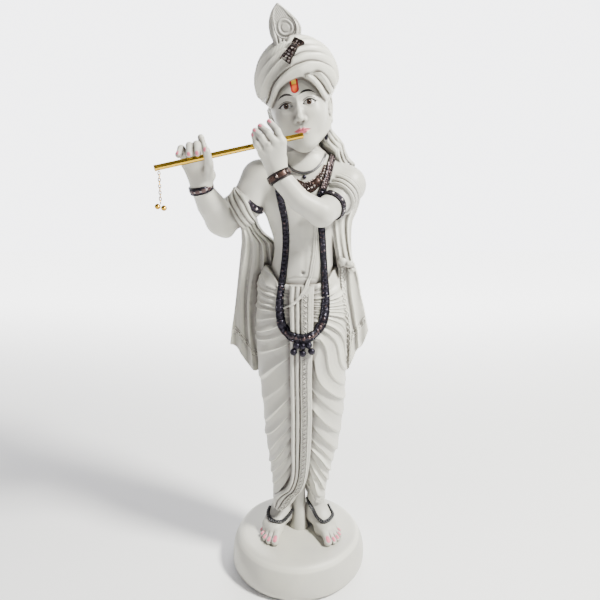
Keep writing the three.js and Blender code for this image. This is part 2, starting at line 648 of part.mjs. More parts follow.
// A union of forms, each worked out only near the sphere [centre, radius] that holds it
function gathered(width, groups) {
  return (x, y, z) => {
    let d = 1e6;
    for (const [[cx, cy, cz], radius, form] of groups) {
      const far = length3(x - cx, y - cy, z - cz) - radius;
      if (far > d + width) continue;
      const e = far > 14 ? far : form(x, y, z);
      const h = Math.max(width - Math.abs(d - e), 0) / width;
      d = Math.min(d, e) - (h * h * width) / 4;
    }
    return d;
  };
}

const bodyForm = gathered(4, [
  [[5, 0, 290], 270, legsForm],
  [[5, -50, 290], 260, pleatsForm],
  [[8, -30, 525], 90, waistCloth()],
  [[6, 0, 650], 200, torsoForm],
]);

const cast = (() => {
  const rest = gathered(2, [
    [[3, 0, 860], 120, headForm],
    [[0, 0, 885], 100, turbanForm],
    [[-18, -22, 955], 66, framed([-20, -24, 920], new THREE.Euler(0.06, -0.02, 0), feather())],
    [[30, 40, 760], 130, hair()],
    [[6, 0, 650], 200, blend(6, torsoForm, armsForm)],
    [[-156, -125, 735], 62, hand(WRISTS[0], FAR_FINGERS, FAR_THUMB, 9)],
    [[-45, -115, 752], 70, hand(WRISTS[1], NEAR_FINGERS, NEAR_THUMB, 9)],
    [[5, 0, 290], 270, legsForm],
    [[5, -50, 290], 260, pleatsForm],
    [[8, -30, 525], 90, waistCloth()],
    [[-50, -25, 35], 90, feetForms[0]],
    [[60, -25, 35], 90, feetForms[1]],
    [[4, -10, 50], 85, support()],
    [[0, 0, 520], 230, shawl()],
  ]);
  return (x, y, z) => Math.max(rest(x, y, z), -6 - z);
})();

// Surface of a form on a regular grid. Cells far from the surface are skipped.
function surfaceOf(form, low, high, cell) {
  const BLOCK = 8;
  const size = low.map((v, k) => Math.ceil((high[k] - v) / cell / BLOCK) * BLOCK + 1);
  const [nx, ny, nz] = size;
  const at = (i, j, k) => i + nx * (j + ny * k);
  const value = new Float32Array(nx * ny * nz).fill(1);
  const reach = cell * BLOCK * 0.87 * 1.6 + 8;
  const half = (BLOCK / 2) * cell;
  for (let k = 0; k < nz; k += BLOCK)
    for (let j = 0; j < ny; j += BLOCK)
      for (let i = 0; i < nx; i += BLOCK) {
        const middle = form(low[0] + i * cell + half, low[1] + j * cell + half, low[2] + k * cell + half);
        const near = Math.abs(middle) < reach;
        for (let c = k; c < Math.min(k + BLOCK, nz); c++)
          for (let b = j; b < Math.min(j + BLOCK, ny); b++)
            for (let a = i; a < Math.min(i + BLOCK, nx); a++)
              value[at(a, b, c)] = near
                ? form(low[0] + a * cell, low[1] + b * cell, low[2] + c * cell)
                : middle;
      }
  closeTouchingCorners(value, size);
  const points = [];
  const cellPoint = new Int32Array(nx * ny * nz).fill(-1);
  const EDGES = [];
  for (let c = 0; c < 8; c++)
    for (const bit of [1, 2, 4]) if (!(c & bit)) EDGES.push([c, c | bit]);
  const corner = (c) => [c & 1, (c >> 1) & 1, (c >> 2) & 1];
  for (let k = 0; k < nz - 1; k++)
    for (let j = 0; j < ny - 1; j++)
      for (let i = 0; i < nx - 1; i++) {
        let mask = 0;
        for (let c = 0; c < 8; c++) {
          const [a, b, d] = corner(c);
          if (value[at(i + a, j + b, k + d)] < 0) mask |= 1 << c;
        }
        if (mask === 0 || mask === 255) continue;
        const sum = [0, 0, 0];
        let n = 0;
        for (const [c, d] of EDGES) {
          if (((mask >> c) & 1) === ((mask >> d) & 1)) continue;
          const p = corner(c);
          const q = corner(d);
          const vp = value[at(i + p[0], j + p[1], k + p[2])];
          const vq = value[at(i + q[0], j + q[1], k + q[2])];
          const t = vp / (vp - vq);
          for (let m = 0; m < 3; m++) sum[m] += p[m] + (q[m] - p[m]) * t;
          n++;
        }
        cellPoint[at(i, j, k)] = points.length;
        points.push([i, j, k].map((v, m) => low[m] + (v + sum[m] / n) * cell));
      }
  const triangles = [];
  const step = [1, nx, nx * ny];
  for (let k = 1; k < nz - 1; k++)
    for (let j = 1; j < ny - 1; j++)
      for (let i = 1; i < nx - 1; i++) {
        const here = at(i, j, k);
        for (let m = 0; m < 3; m++) {
          const inside = value[here] < 0;
          if (inside === value[here + step[m]] < 0) continue;
          const p = step[(m + 1) % 3];
          const q = step[(m + 2) % 3];
          const ring = [here, here - p, here - p - q, here - q].map((c) => cellPoint[c]);
          if (!inside) ring.reverse();
          triangles.push([ring[0], ring[1], ring[2]], [ring[0], ring[2], ring[3]]);
        }
      }
  return { points, triangles };
}

// Fills the outside corners where two parts of a form touch at a grid edge or corner only
function closeTouchingCorners(value, [nx, ny, nz]) {
  const step = [1, nx, nx * ny];
  let changed = true;
  while (changed) {
    changed = false;
    for (let k = 0; k < nz - 1; k++)
      for (let j = 0; j < ny - 1; j++)
        for (let i = 0; i < nx - 1; i++) {
          const here = i + nx * (j + ny * k);
          for (let m = 0; m < 3; m++) {
            const p = step[m];
            const q = step[(m + 1) % 3];
            const a = value[here] < 0;
            const b = value[here + p] < 0;
            const c = value[here + q] < 0;
            const d = value[here + p + q] < 0;
            if (a === d && b === c && a !== b) {
              const open = a ? [here + p, here + q] : [here, here + p + q];
              const fill = value[open[0]] < value[open[1]] ? open[0] : open[1];
              value[fill] = -0.05;
              changed = true;
            }
          }
        }
  }
}

// Joins edges, least change first, until few enough triangles are left (quadric error metric)
function simplified({ points, triangles }, target, weightOf) {
  const faces = triangles.map((t) => t.slice());
  const live = new Uint8Array(faces.length).fill(1);
  const around = points.map(() => new Set());
  faces.forEach((t, f) => t.forEach((v) => around[v].add(f)));
  const quadric = points.map(() => new Float64Array(10));
  const cross = (f, moved, to) => {
    const [a, b, c] = faces[f].map((v) => (v === moved ? to : points[v]));
    const ux = b[0] - a[0], uy = b[1] - a[1], uz = b[2] - a[2];
    const vx = c[0] - a[0], vy = c[1] - a[1], vz = c[2] - a[2];
    return [uy * vz - uz * vy, uz * vx - ux * vz, ux * vy - uy * vx];
  };
  faces.forEach((t, f) => {
    const n = cross(f, -1, null);
    const size = length3(...n);
    if (size < 1e-9) return;
    const [a, b, c] = n.map((v) => v / size);
    const p = points[t[0]];
    const d = -(a * p[0] + b * p[1] + c * p[2]);
    const w = size * weightOf(p);
    const q = [a * a, a * b, a * c, a * d, b * b, b * c, b * d, c * c, c * d, d * d];
    for (const v of t) for (let i = 0; i < 10; i++) quadric[v][i] += q[i] * w;
  });
  const costAt = (q, [x, y, z]) =>
    q[0] * x * x + 2 * q[1] * x * y + 2 * q[2] * x * z + 2 * q[3] * x + q[4] * y * y +
    2 * q[5] * y * z + 2 * q[6] * y + q[7] * z * z + 2 * q[8] * z + q[9];
  const best = (u, v) => {
    const q = quadric[u].map((e, i) => e + quadric[v][i]);
    const p = points[u];
    const r = points[v];
    const choices = [p, r, p.map((e, i) => (e + r[i]) / 2)];
    const det =
      q[0] * (q[4] * q[7] - q[5] * q[5]) - q[1] * (q[1] * q[7] - q[5] * q[2]) + q[2] * (q[1] * q[5] - q[4] * q[2]);
    if (Math.abs(det) > 1e-6 * (q[0] + q[4] + q[7]) ** 3) {
      const s = [
        -(
          q[3] * (q[4] * q[7] - q[5] * q[5])
          - q[1] * (q[6] * q[7] - q[5] * q[8])
          + q[2] * (q[6] * q[5] - q[4] * q[8])
        ) / det,
        -(
          q[0] * (q[6] * q[7] - q[5] * q[8])
          - q[3] * (q[1] * q[7] - q[5] * q[2])
          + q[2] * (q[1] * q[8] - q[6] * q[2])
        ) / det,
        -(
          q[0] * (q[4] * q[8] - q[6] * q[5])
          - q[1] * (q[1] * q[8] - q[6] * q[2])
          + q[3] * (q[1] * q[5] - q[4] * q[2])
        ) / det,
      ];
      if (length3(...s.map((e, i) => e - choices[2][i])) < 3 * length3(...p.map((e, i) => e - r[i]))) choices.push(s);
    }
    let cost = Infinity;
    let place = null;
    const span = 1e-3 * length3(...p.map((e, i) => e - r[i])) ** 2;
    for (const c of choices) {
      const e = costAt(q, c) + span;
      if (e < cost) [cost, place] = [e, c];
    }
    return { cost, place, q };
  };
  const heap = [];
  const stamp = new Uint32Array(points.length);
  const push = (item) => {
    let i = heap.push(item) - 1;
    while (i > 0) {
      const parent = (i - 1) >> 1;
      if (heap[parent].cost <= heap[i].cost) break;
      [heap[parent], heap[i]] = [heap[i], heap[parent]];
      i = parent;
    }
  };
  const pop = () => {
    const top = heap[0];
    const last = heap.pop();
    if (heap.length) {
      heap[0] = last;
      let i = 0;
      for (;;) {
        let child = 2 * i + 1;
        if (child >= heap.length) break;
        if (child + 1 < heap.length && heap[child + 1].cost < heap[child].cost) child++;
        if (heap[i].cost <= heap[child].cost) break;
        [heap[i], heap[child]] = [heap[child], heap[i]];
        i = child;
      }
    }
    return top;
  };
  const offer = (u, v) => push({ u, v, su: stamp[u], sv: stamp[v], ...best(u, v) });
  const neighbours = (v) => {
    const found = new Set();
    for (const f of around[v]) for (const w of faces[f]) if (w !== v) found.add(w);
    return found;
  };
  faces.forEach((t) => t.forEach((v, i) => {
    const w = t[(i + 1) % 3];
    if (v < w) offer(v, w);
  }));
  let count = faces.length;
  while (count > target && heap.length) {
    const { u, v, su, sv, place, q } = pop();
    if (stamp[u] !== su || stamp[v] !== sv || !around[u].size || !around[v].size) continue;
    const shared = [...around[u]].filter((f) => around[v].has(f));
    const nu = neighbours(u);
    const common = [...neighbours(v)].filter((w) => nu.has(w));
    if (shared.length !== 2 || common.length !== 2) continue;
    const flips = (v0) => [...around[v0]].some((f) => {
      if (shared.includes(f)) return false;
      const old = cross(f, -1, null);
      const now = cross(f, v0, place);
      const dot = old[0] * now[0] + old[1] * now[1] + old[2] * now[2];
      return dot < 0.25 * length3(...old) * length3(...now) || length3(...now) < 1e-3;
    });
    if (flips(u) || flips(v)) continue;
    points[u] = place;
    quadric[u] = q;
    for (const f of shared) {
      live[f] = 0;
      faces[f].forEach((w) => around[w].delete(f));
    }
    for (const f of around[v]) {
      faces[f] = faces[f].map((w) => (w === v ? u : w));
      around[u].add(f);
    }
    around[v].clear();
    count -= 2;
    stamp[u]++;
    for (const w of neighbours(u)) offer(u, w);
  }
  return { points, triangles: faces.filter((_, f) => live[f]) };
}

// Manifold solids from geometry, and back
function solid(geometry) {
  const bare = geometry.clone();
  bare.deleteAttribute("normal");
  bare.deleteAttribute("uv");
  const merged = mergeVertices(bare, 1e-4);
  return new wasm.Manifold(new wasm.Mesh({
    numProp: 3,
    vertProperties: new Float32Array(merged.attributes.position.array),
    triVerts: new Uint32Array(merged.index.array),
  }));
}

// The biggest body of a solid, without specks and closed hollows
const largest = (manifold) =>
  manifold.decompose().reduce((best, body) => (body.volume() > best.volume() ? body : best));

function geometryOf(manifold) {
  const mesh = manifold.getMesh();
  const geometry = new THREE.BufferGeometry();
  geometry.setAttribute("position", new THREE.BufferAttribute(mesh.vertProperties, 3));
  geometry.setIndex(new THREE.BufferAttribute(mesh.triVerts, 1));
  geometry.computeVertexNormals();
  return geometry;
}

// From the figure's own thousandths to millimetres in the part's frame
const placed = (x, y, z) => new THREE.Vector3(x * UNIT, y * UNIT, z * UNIT + PLINTH_HEIGHT);

// The first place where a line meets a form, or the place where it comes nearest
function meet(form, start, direction) {
  let nearest = Infinity;
  let travelled = 0;
  let best = 0;
  while (travelled < 260) {
    const p = start.clone().addScaledVector(direction, travelled);
    const d = form(p.x, p.y, p.z);
    if (d < nearest) [nearest, best] = [d, travelled];
    if (d < 0.05) break;
    travelled += Math.max(d * 0.6, 0.1);
  }
  return start.clone().addScaledVector(direction, best);
}

// Direction away from a form at a point
function away(form, p) {
  const e = 1.5;
  return new THREE.Vector3(
    form(p.x + e, p.y, p.z) - form(p.x - e, p.y, p.z),
    form(p.x, p.y + e, p.z) - form(p.x, p.y - e, p.z),
    form(p.x, p.y, p.z + e) - form(p.x, p.y, p.z - e),
  ).normalize();
}

// A strap that lies on the front of a form, through [x, z] pairs
function frontStrap(form, pairs, startY) {
  const points = pairs.map(([x, z]) =>
    meet(form, new THREE.Vector3(x, startY, z), new THREE.Vector3(0, 1, 0)));
  for (let round = 0; round < 12; round++)
    for (let i = 1; i < points.length - 1; i++)
      points[i].y = Math.min(points[i].y, (points[i - 1].y + points[i + 1].y) / 2 + 0.4);
  let outs = points.map((p) => away(form, p));
  for (let round = 0; round < 4; round++)
    outs = outs.map((out, i) => out.clone().multiplyScalar(2)
      .add(outs[Math.max(i - 1, 0)]).add(outs[Math.min(i + 1, outs.length - 1)]).normalize());
  return points.map((p, i) => ({ p, out: outs[i] }));
}

// A strap round a limb, from -half to +half of a turn about an axis, counted from a direction
function ringStrap(form, centre, axis, toward, half, steps, reach) {
  const w = new THREE.Vector3(...axis).normalize();
  const e1 = new THREE.Vector3(...toward).addScaledVector(w, -w.dot(new THREE.Vector3(...toward))).normalize();
  const e2 = w.clone().cross(e1);
  const closed = half >= Math.PI;
  const points = [];
  for (let i = 0; i < (closed ? steps : steps + 1); i++) {
    const angle = -half + (2 * half * i) / steps;
    const out = e1.clone().multiplyScalar(Math.cos(angle)).addScaledVector(e2, Math.sin(angle));
    const start = new THREE.Vector3(...centre).addScaledVector(out, reach);
    points.push({ p: meet(form, start, out.clone().negate()), out });
  }
  return points;
}

// A band of rounded section along a strap. Its underside is let into the form by SINK; grow widens it all round.
function bandGeometry(strap, widthOf, thickness, closed, grow) {
  const n = strap.length;
  const centre = strap.map(({ p }) => placed(p.x, p.y, p.z));
  const vertices = [];
  const sides = 6;
  for (let i = 0; i < n; i++) {
    const before = centre[closed ? (i + n - 1) % n : Math.max(i - 1, 0)];
    const after = centre[closed ? (i + 1) % n : Math.min(i + 1, n - 1)];
    const run = after.clone().sub(before).normalize();
    const out = strap[i].out.clone().addScaledVector(run, -run.dot(strap[i].out)).normalize();
    const across = run.clone().cross(out);
    const half = widthOf(i / (closed ? n : n - 1)) / 2 + grow;
    const shift = closed ? 0 : i === 0 ? -grow : i === n - 1 ? grow : 0;
    const low = -SINK - grow;
    const high = thickness + grow;
    const section = [
      [-half, low], [half, low], [half, high * 0.5], [half * 0.55, high], [-half * 0.55, high], [-half, high * 0.5],
    ];
    for (const [a, b] of section) {
      const v = centre[i].clone().addScaledVector(across, a).addScaledVector(out, b).addScaledVector(run, shift);
      vertices.push(v.x, v.y, v.z);
    }
  }
  const index = [];
  for (let i = 0; i < (closed ? n : n - 1); i++)
    for (let k = 0; k < sides; k++) {
      const a = i * sides + k;
      const b = i * sides + ((k + 1) % sides);
      const c = ((i + 1) % n) * sides + k;
      const d = ((i + 1) % n) * sides + ((k + 1) % sides);
      index.push(a, c, b, b, c, d);
    }
  if (!closed)
    for (let k = 1; k < sides - 1; k++) {
      index.push(0, k, k + 1);
      const e = (n - 1) * sides;
      index.push(e, e + k + 1, e + k);
    }
  const geometry = new THREE.BufferGeometry();
  geometry.setAttribute("position", new THREE.Float32BufferAttribute(vertices, 3));
  geometry.setIndex(index);
  return geometry;
}

const bead = (p, out, diameter, lift, grow) => {
  const c = placed(p.x, p.y, p.z).addScaledVector(out, lift);
  return new THREE.SphereGeometry(diameter / 2 + grow, 7, 5).translate(c.x, c.y, c.z);
};

function castFigure() {
  const rough = surfaceOf(cast, [-206, -166, -14], [176, 112, 1010], FIELD_CELL);
  const detail = ([x, y, z]) => {
    const faceWeight = y < -30 && z > 745 && z < 890 && x > -50 ? 9 : 1;
    const handWeight = y < -78 && z > 700 && z < 810 && x < -18 ? 5 : 1;
    const toeWeight = z < 30 && y < -20 ? 2 : 1;
    return faceWeight * handWeight * toeWeight;
  };
  const { points, triangles } = simplified(rough, FIGURE_TRIANGLES, detail);
  const geometry = new THREE.BufferGeometry();
  geometry.setAttribute("position", new THREE.Float32BufferAttribute(points.flat(), 3));
  geometry.setIndex(triangles.flat());
  geometry.scale(UNIT, UNIT, UNIT).translate(0, 0, PLINTH_HEIGHT);
  return largest(solid(geometry));
}

function plinthGeometry() {
  const profile = new THREE.Path();
  profile.moveTo(0, 0);
  profile.lineTo(PLINTH_FOOT_DIAMETER / 2 - PLINTH_EDGE_RADIUS * 3, 0);
  profile.quadraticCurveTo(
    PLINTH_FOOT_DIAMETER / 2 + 1, PLINTH_EDGE_RADIUS, PLINTH_FOOT_DIAMETER / 2, PLINTH_HEIGHT * 0.33,
  );
  profile.lineTo(PLINTH_TOP_DIAMETER / 2 + 1, PLINTH_HEIGHT - PLINTH_EDGE_RADIUS);
  profile.quadraticCurveTo(
    PLINTH_TOP_DIAMETER / 2, PLINTH_HEIGHT, PLINTH_TOP_DIAMETER / 2 - PLINTH_EDGE_RADIUS, PLINTH_HEIGHT,
  );
  profile.lineTo(0, PLINTH_HEIGHT);
  return new THREE.LatheGeometry(profile.getPoints(3), 36).rotateX(Math.PI / 2);
}

// Jewellery, glued on. Each is a function of the room left round it, so that its seat is cut with the same shape.
const taper = (ends, middle) => (t) => ends + (middle - ends) * Math.sin(Math.PI * t) ** 1.5;
const constant = (value) => () => value;

const MALA_PATH = [
  [63, 752], [59, 738], [54, 718], [47, 698], [40, 679], [39, 653], [43, 625], [46, 586], [49, 541], [51, 497],
  [49, 468], [43, 449], [31, 435], [18, 429], [7, 427], [-5, 429], [-18, 435], [-28, 448], [-32, 466],
  [-33, 492], [-29, 523], [-23, 568], [-21, 604], [-23, 639], [-28, 665], [-33, 690], [-33, 716], [-28, 737],
];
const MALA_BEADS = [[-7.5, 403], [9, 400], [25.5, 404], [-2, 415], [9, 414], [20, 416]]; // hung below it
const malaStrap = frontStrap(bodyForm, MALA_PATH, -80);
const malaLow = malaStrap.reduce((a, b) => (b.p.z < a.p.z ? b : a));
const malaWidth = (t) => MALA_WIDTH + (MALA_LOW_WIDTH - MALA_WIDTH) * smoothstep(0.2, 0.06, Math.abs(t - 0.5));
const mala = (grow) => {
  let body = solid(bandGeometry(malaStrap, malaWidth, MALA_THICKNESS, false, grow));
  for (const [x, z] of MALA_BEADS) {
    const p = new THREE.Vector3(x, malaLow.p.y - 3, z);
    body = body.add(solid(bead(p, new THREE.Vector3(0, -1, 0), MALA_BEAD_DIAMETER, 0, grow)));
  }
  return body;
};

const CHOKER_PATH = [
  [-27, 752], [-22, 742], [-15, 732], [-3, 724], [12, 721], [27, 725], [40, 736], [47, 747], [50, 756],
];
const chokerStrap = frontStrap(torsoForm, CHOKER_PATH, -76);
const choker = (grow) => {
  const drop = chokerStrap[4].p.clone().add(new THREE.Vector3(0, -1, -7));
  return solid(bandGeometry(chokerStrap, constant(CHOKER_WIDTH), CHOKER_THICKNESS, false, grow))
    .add(solid(bead(drop, new THREE.Vector3(0, -1, 0), CHOKER_BEAD_DIAMETER, 0, grow)));
};
const COLLAR_PATH = [
  [-26, 734], [-18, 720], [-10, 708], [1, 699], [12, 695], [24, 698], [35, 707], [43, 719], [49, 735],
];
const collarStrap = frontStrap(torsoForm, COLLAR_PATH, -76);
const collar = (grow) =>
  solid(bandGeometry(collarStrap, taper(5, COLLAR_WIDTH), COLLAR_THICKNESS, false, grow));

const ringBand = (strap, width, closed) => (grow) =>
  solid(bandGeometry(strap, constant(width), RING_THICKNESS, closed, grow));
const part = (a, b, t) => a.map((v, k) => v + (b[k] - v) * t);
const BRACELETS = [
  ringStrap(armsForm, WRISTS[0], [-0.22, -0.35, 0.91], [0, -1, 0], Math.PI, 13, 40),
  ringStrap(armsForm, part(FOREARMS[1], WRISTS[1], 0.93), [-0.47, 0.05, 0.88], [0, -1, 0], Math.PI, 13, 40),
];
const ARMLET_PATHS = [
  [[-90, -44, 669], [-82, -44, 664], [-77, -40, 660], [-71, -34, 657], [-65, -27, 655], [-60, -18, 654],
    [-58, -8, 655]],
  [[49, -50, 688], [54, -57, 687], [61, -66, 684], [69, -69, 680], [76, -69, 673], [79, -68, 665], [79, -65, 655],
    [76, -57, 647], [71, -48, 641]],
];
const ANKLET_PATHS = [
  [[-58, 4, 42], [-61, -8, 34], [-56, -20, 28], [-47, -29, 29], [-38, -29, 28], [-31, -23, 27], [-21, -12, 31],
    [-13, -1, 38]],
  [[14, 5, 62], [23, -3, 56], [31, -11, 45], [39, -20, 34], [45, -26, 31], [52, -31, 29], [59, -28, 29],
    [66, -19, 29], [71, -9, 32], [71, 0, 40], [64, 7, 47]],
];

// A strap through points that are let down onto a form
const laidStrap = (form, points) => points.map((point) => {
  const p = new THREE.Vector3(...point);
  for (let round = 0; round < 6; round++) p.addScaledVector(away(form, p), -form(p.x, p.y, p.z));
  return { p, out: away(form, p) };
});
const ARMLETS = ARMLET_PATHS.map((points) => laidStrap(armsForm, points));
const ANKLETS = ANKLET_PATHS.map((points, k) => laidStrap(feetForms[k], points));

// The brooch lies aslant on the front of the turban, about its middle
const BROOCH_MIDDLE = [-8.5, 915];
const broochStrap = [-0.5, -0.25, 0, 0.25, 0.5].map((share) => {
  const reach = (share * BROOCH_LENGTH) / UNIT;
  const start = new THREE.Vector3(BROOCH_MIDDLE[0] + 0.55 * reach, -120, BROOCH_MIDDLE[1] + 0.835 * reach);
  const p = meet(turbanForm, start, new THREE.Vector3(0, 1, 0));
  return { p, out: new THREE.Vector3(-0.1, -0.88, 0.45).normalize() };
});
const broochWidth = (t) => BROOCH_WAIST + (BROOCH_WIDTH - BROOCH_WAIST) * (0.5 + 0.5 * Math.cos(2 * Math.PI * t));
const brooch = (grow) =>
  solid(bandGeometry(broochStrap, broochWidth, BROOCH_THICKNESS, false, grow));

const EARRING_TOPS = [[-41, -8, 790], [51, -12, 807]];
const earring = (top) => (grow) => {
  const profile = new THREE.Path();
  profile.moveTo(0, -EARRING_LENGTH - grow);
  const half = EARRING_DIAMETER / 2 + grow;
  profile.quadraticCurveTo(half, -EARRING_LENGTH - grow, half, -EARRING_LENGTH * 0.7);
  profile.lineTo(1.6 + grow, -5);
  profile.lineTo(1.6 + grow, grow);
  profile.lineTo(0, grow);
  const c = placed(...top);
  return solid(new THREE.LatheGeometry(profile.getPoints(3), 8).rotateX(Math.PI / 2).translate(c.x, c.y, c.z));
};

// Flute, with its channel through both hands, and the chain with two bells hung from its far end
const FLUTE_FAR = placed(-216, -170, 720);
const FLUTE_NEAR = placed(9, -90, 778);
const fluteRun = FLUTE_NEAR.clone().sub(FLUTE_FAR).normalize();
function tube(outer, inner, length, sides) {
  const profile = [
    [inner / 2, 0], [outer / 2 - 0.5, 0], [outer / 2, 0.5], [outer / 2, length - 0.5], [outer / 2 - 0.5, length],
    [inner / 2, length], [inner / 2, 0],
  ].map(([r, h]) => new THREE.Vector2(Math.max(r, 0), h));
  const turn = new THREE.Quaternion().setFromUnitVectors(new THREE.Vector3(0, 1, 0), fluteRun);
  return new THREE.LatheGeometry(inner ? profile : profile.slice(0, 6), sides).applyQuaternion(turn)
    .translate(FLUTE_FAR.x, FLUTE_FAR.y, FLUTE_FAR.z);
}
const flute = () => solid(tube(FLUTE_DIAMETER, FLUTE_BORE, FLUTE_LENGTH, 14));
const CHANNEL_SIDES = 8;
const channel = () =>
  solid(tube((FLUTE_DIAMETER + 2 * FIT_GAP) / Math.cos(Math.PI / CHANNEL_SIDES), 0, FLUTE_LENGTH, CHANNEL_SIDES));
const hook = FLUTE_FAR.clone().addScaledVector(fluteRun, 6);
const chainTop = hook.z - FLUTE_DIAMETER / 2 - FIT_GAP - 0.35;
function chainGeometry() {
  const links = 8;
  const pitch = CHAIN_LENGTH / links;
  const profile = [new THREE.Vector2(0, -CHAIN_LENGTH)];
  for (let i = links; i > 0; i--) {
    const low = -pitch * i;
    profile.push(new THREE.Vector2(CHAIN_BEAD_DIAMETER / 2 * 0.55, low + pitch * 0.08));
    profile.push(new THREE.Vector2(CHAIN_BEAD_DIAMETER / 2, low + pitch * 0.5));
  }
  profile.push(new THREE.Vector2(CHAIN_BEAD_DIAMETER / 2 * 0.55, -pitch * 0.08));
  profile.push(new THREE.Vector2(0, 0));
  return new THREE.LatheGeometry(profile, 6).rotateX(Math.PI / 2).translate(hook.x, hook.y, chainTop);
}
const bellGeometry = (side) =>
  new THREE.SphereGeometry(BELL_DIAMETER / 2, 8, 6).rotateX(Math.PI / 2).translate(
    hook.x + side * (BELL_DIAMETER / 2 + FIT_GAP / 2 + 0.1),
    hook.y,
    chainTop - CHAIN_LENGTH - BELL_DIAMETER / 2 + 0.6 - (side > 0 ? 2 : 0),
  );

const material = (color, roughness, metalness) => new THREE.MeshStandardMaterial({ color, roughness, metalness });
const WHITE = [0xe9e7e0, 0.55, 0];
const GUNMETAL = [0x2b2628, 0.35, 0.8];
const BRONZE = [0x5a4640, 0.35, 0.8];
const GOLD = [0xb08a2e, 0.25, 1];

const glued = {
  mala: [mala, GUNMETAL],
  collar: [collar, BRONZE],
  choker: [choker, GUNMETAL],
  bracelet_left: [ringBand(BRACELETS[0], BRACELET_WIDTH - 2, true), GUNMETAL],
  bracelet_right: [ringBand(BRACELETS[1], BRACELET_WIDTH, true), BRONZE],
  armlet_left: [ringBand(ARMLETS[0], ARMLET_WIDTH, false), GUNMETAL],
  armlet_right: [ringBand(ARMLETS[1], ARMLET_WIDTH, false), GUNMETAL],
  anklet_left: [ringBand(ANKLETS[0], ANKLET_WIDTH, false), GUNMETAL],
  anklet_right: [ringBand(ANKLETS[1], ANKLET_WIDTH, false), GUNMETAL],
  earring_left: [earring(EARRING_TOPS[0]), GUNMETAL],
  earring_right: [earring(EARRING_TOPS[1]), GUNMETAL],
  turban_brooch: [brooch, BRONZE],
};

const group = new THREE.Group();
const add = (name, geometry, look) => {
  const mesh = new THREE.Mesh(geometry, material(...look));
  mesh.name = name;
  group.add(mesh);
};

let figure = castFigure().add(solid(plinthGeometry()));
const taken = [];
for (const [name, [shape, look]] of Object.entries(glued)) {
  figure = figure.subtract(shape(FIT_GAP));
  let body = shape(0);
  for (const other of taken) body = body.subtract(other);
  taken.push(shape(FIT_GAP));
  add(name, geometryOf(largest(body)), look);
}
figure = largest(figure.subtract(channel())).simplify(0.1);
add("figure", geometryOf(figure), WHITE);
add("flute", geometryOf(flute()), GOLD);
add("chain", chainGeometry(), GOLD);
add("bell_left", bellGeometry(-1), GOLD);
add("bell_right", bellGeometry(1), GOLD);

export default group;
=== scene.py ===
import json
import math
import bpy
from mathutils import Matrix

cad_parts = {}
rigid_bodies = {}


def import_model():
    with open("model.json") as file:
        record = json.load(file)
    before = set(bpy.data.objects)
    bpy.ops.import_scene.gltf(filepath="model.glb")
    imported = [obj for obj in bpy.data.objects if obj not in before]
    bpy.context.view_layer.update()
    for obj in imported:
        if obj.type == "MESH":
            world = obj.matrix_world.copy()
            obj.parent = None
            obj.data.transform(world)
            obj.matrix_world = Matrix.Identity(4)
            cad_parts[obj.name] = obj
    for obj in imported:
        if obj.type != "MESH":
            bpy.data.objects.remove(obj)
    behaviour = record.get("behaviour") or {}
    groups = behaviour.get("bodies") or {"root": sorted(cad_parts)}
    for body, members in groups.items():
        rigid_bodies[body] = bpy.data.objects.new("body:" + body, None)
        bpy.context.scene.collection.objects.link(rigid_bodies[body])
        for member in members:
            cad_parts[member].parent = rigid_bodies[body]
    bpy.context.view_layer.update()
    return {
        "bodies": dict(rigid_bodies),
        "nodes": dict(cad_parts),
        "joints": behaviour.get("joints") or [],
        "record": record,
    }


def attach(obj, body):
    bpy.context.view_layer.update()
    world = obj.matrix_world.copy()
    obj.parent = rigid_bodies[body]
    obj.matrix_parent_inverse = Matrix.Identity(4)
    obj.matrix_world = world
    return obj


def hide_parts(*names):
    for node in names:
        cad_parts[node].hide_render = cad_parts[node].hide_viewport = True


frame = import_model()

from concurrent.futures import ThreadPoolExecutor

import bpy
import numpy as np
import openvdb
from mathutils import Vector

# The figure's own unit is a thousandth of its height, with x to the viewer's right, y away from the
# viewer and z up from the plinth's top. A form is a function of arrays x, y, z that gives distances.
FIGURE_HEIGHT = 0.855
UNIT = FIGURE_HEIGHT / 1000
MM = 1 / FIGURE_HEIGHT  # a millimetre in the figure's own unit
PLINTH_HEIGHT = 0.059
f32 = np.float32


def clamp(v, lo, hi):
    return np.minimum(np.maximum(v, lo), hi)


def smoothstep(a, b, v):
    t = clamp((v - a) / (b - a), 0, 1)
    return t * t * (3 - 2 * t)


def length3(x, y, z):
    return np.sqrt(x * x + y * y + z * z)


def unit(v):
    """A vector, or rows of vectors, made one long."""
    v = np.asarray(v, float)
    return v / np.linalg.norm(v, axis=-1, keepdims=True)


def along(knots):
    """A smooth curve of values against one coordinate, through knots [coordinate, value, value, ...]."""
    k = np.array(knots, float)
    n = len(k) - 1
    at = k[:, 0]
    lo = np.maximum(np.arange(n) - 1, 0)
    hi = np.minimum(np.arange(n) + 2, n)
    step = (at[1:] - at[:-1])[:, None]
    p, q = k[:-1, 1:], k[1:, 1:]
    s0 = (k[1:, 1:] - k[lo, 1:]) / (at[1:] - at[lo])[:, None] * step
    s1 = (k[hi, 1:] - k[:-1, 1:]) / (at[hi] - at[:-1])[:, None] * step
    c2 = (3 * q - 3 * p - 2 * s0 - s1).astype(f32)
    c3 = (2 * p - 2 * q + s0 + s1).astype(f32)
    c0, c1 = p.astype(f32), s0.astype(f32)
    start, width = at[:-1].astype(f32), (at[1:] - at[:-1]).astype(f32)

    def value(v):
        v = np.asarray(v, f32)
        i = clamp(np.searchsorted(at.astype(f32), v) - 1, 0, n - 1)
        t = clamp((v - start[i]) / width[i], 0, 1)
        return [((c3[i, m] * t + c2[i, m]) * t + c1[i, m]) * t + c0[i, m] for m in range(k.shape[1] - 1)]

    return value


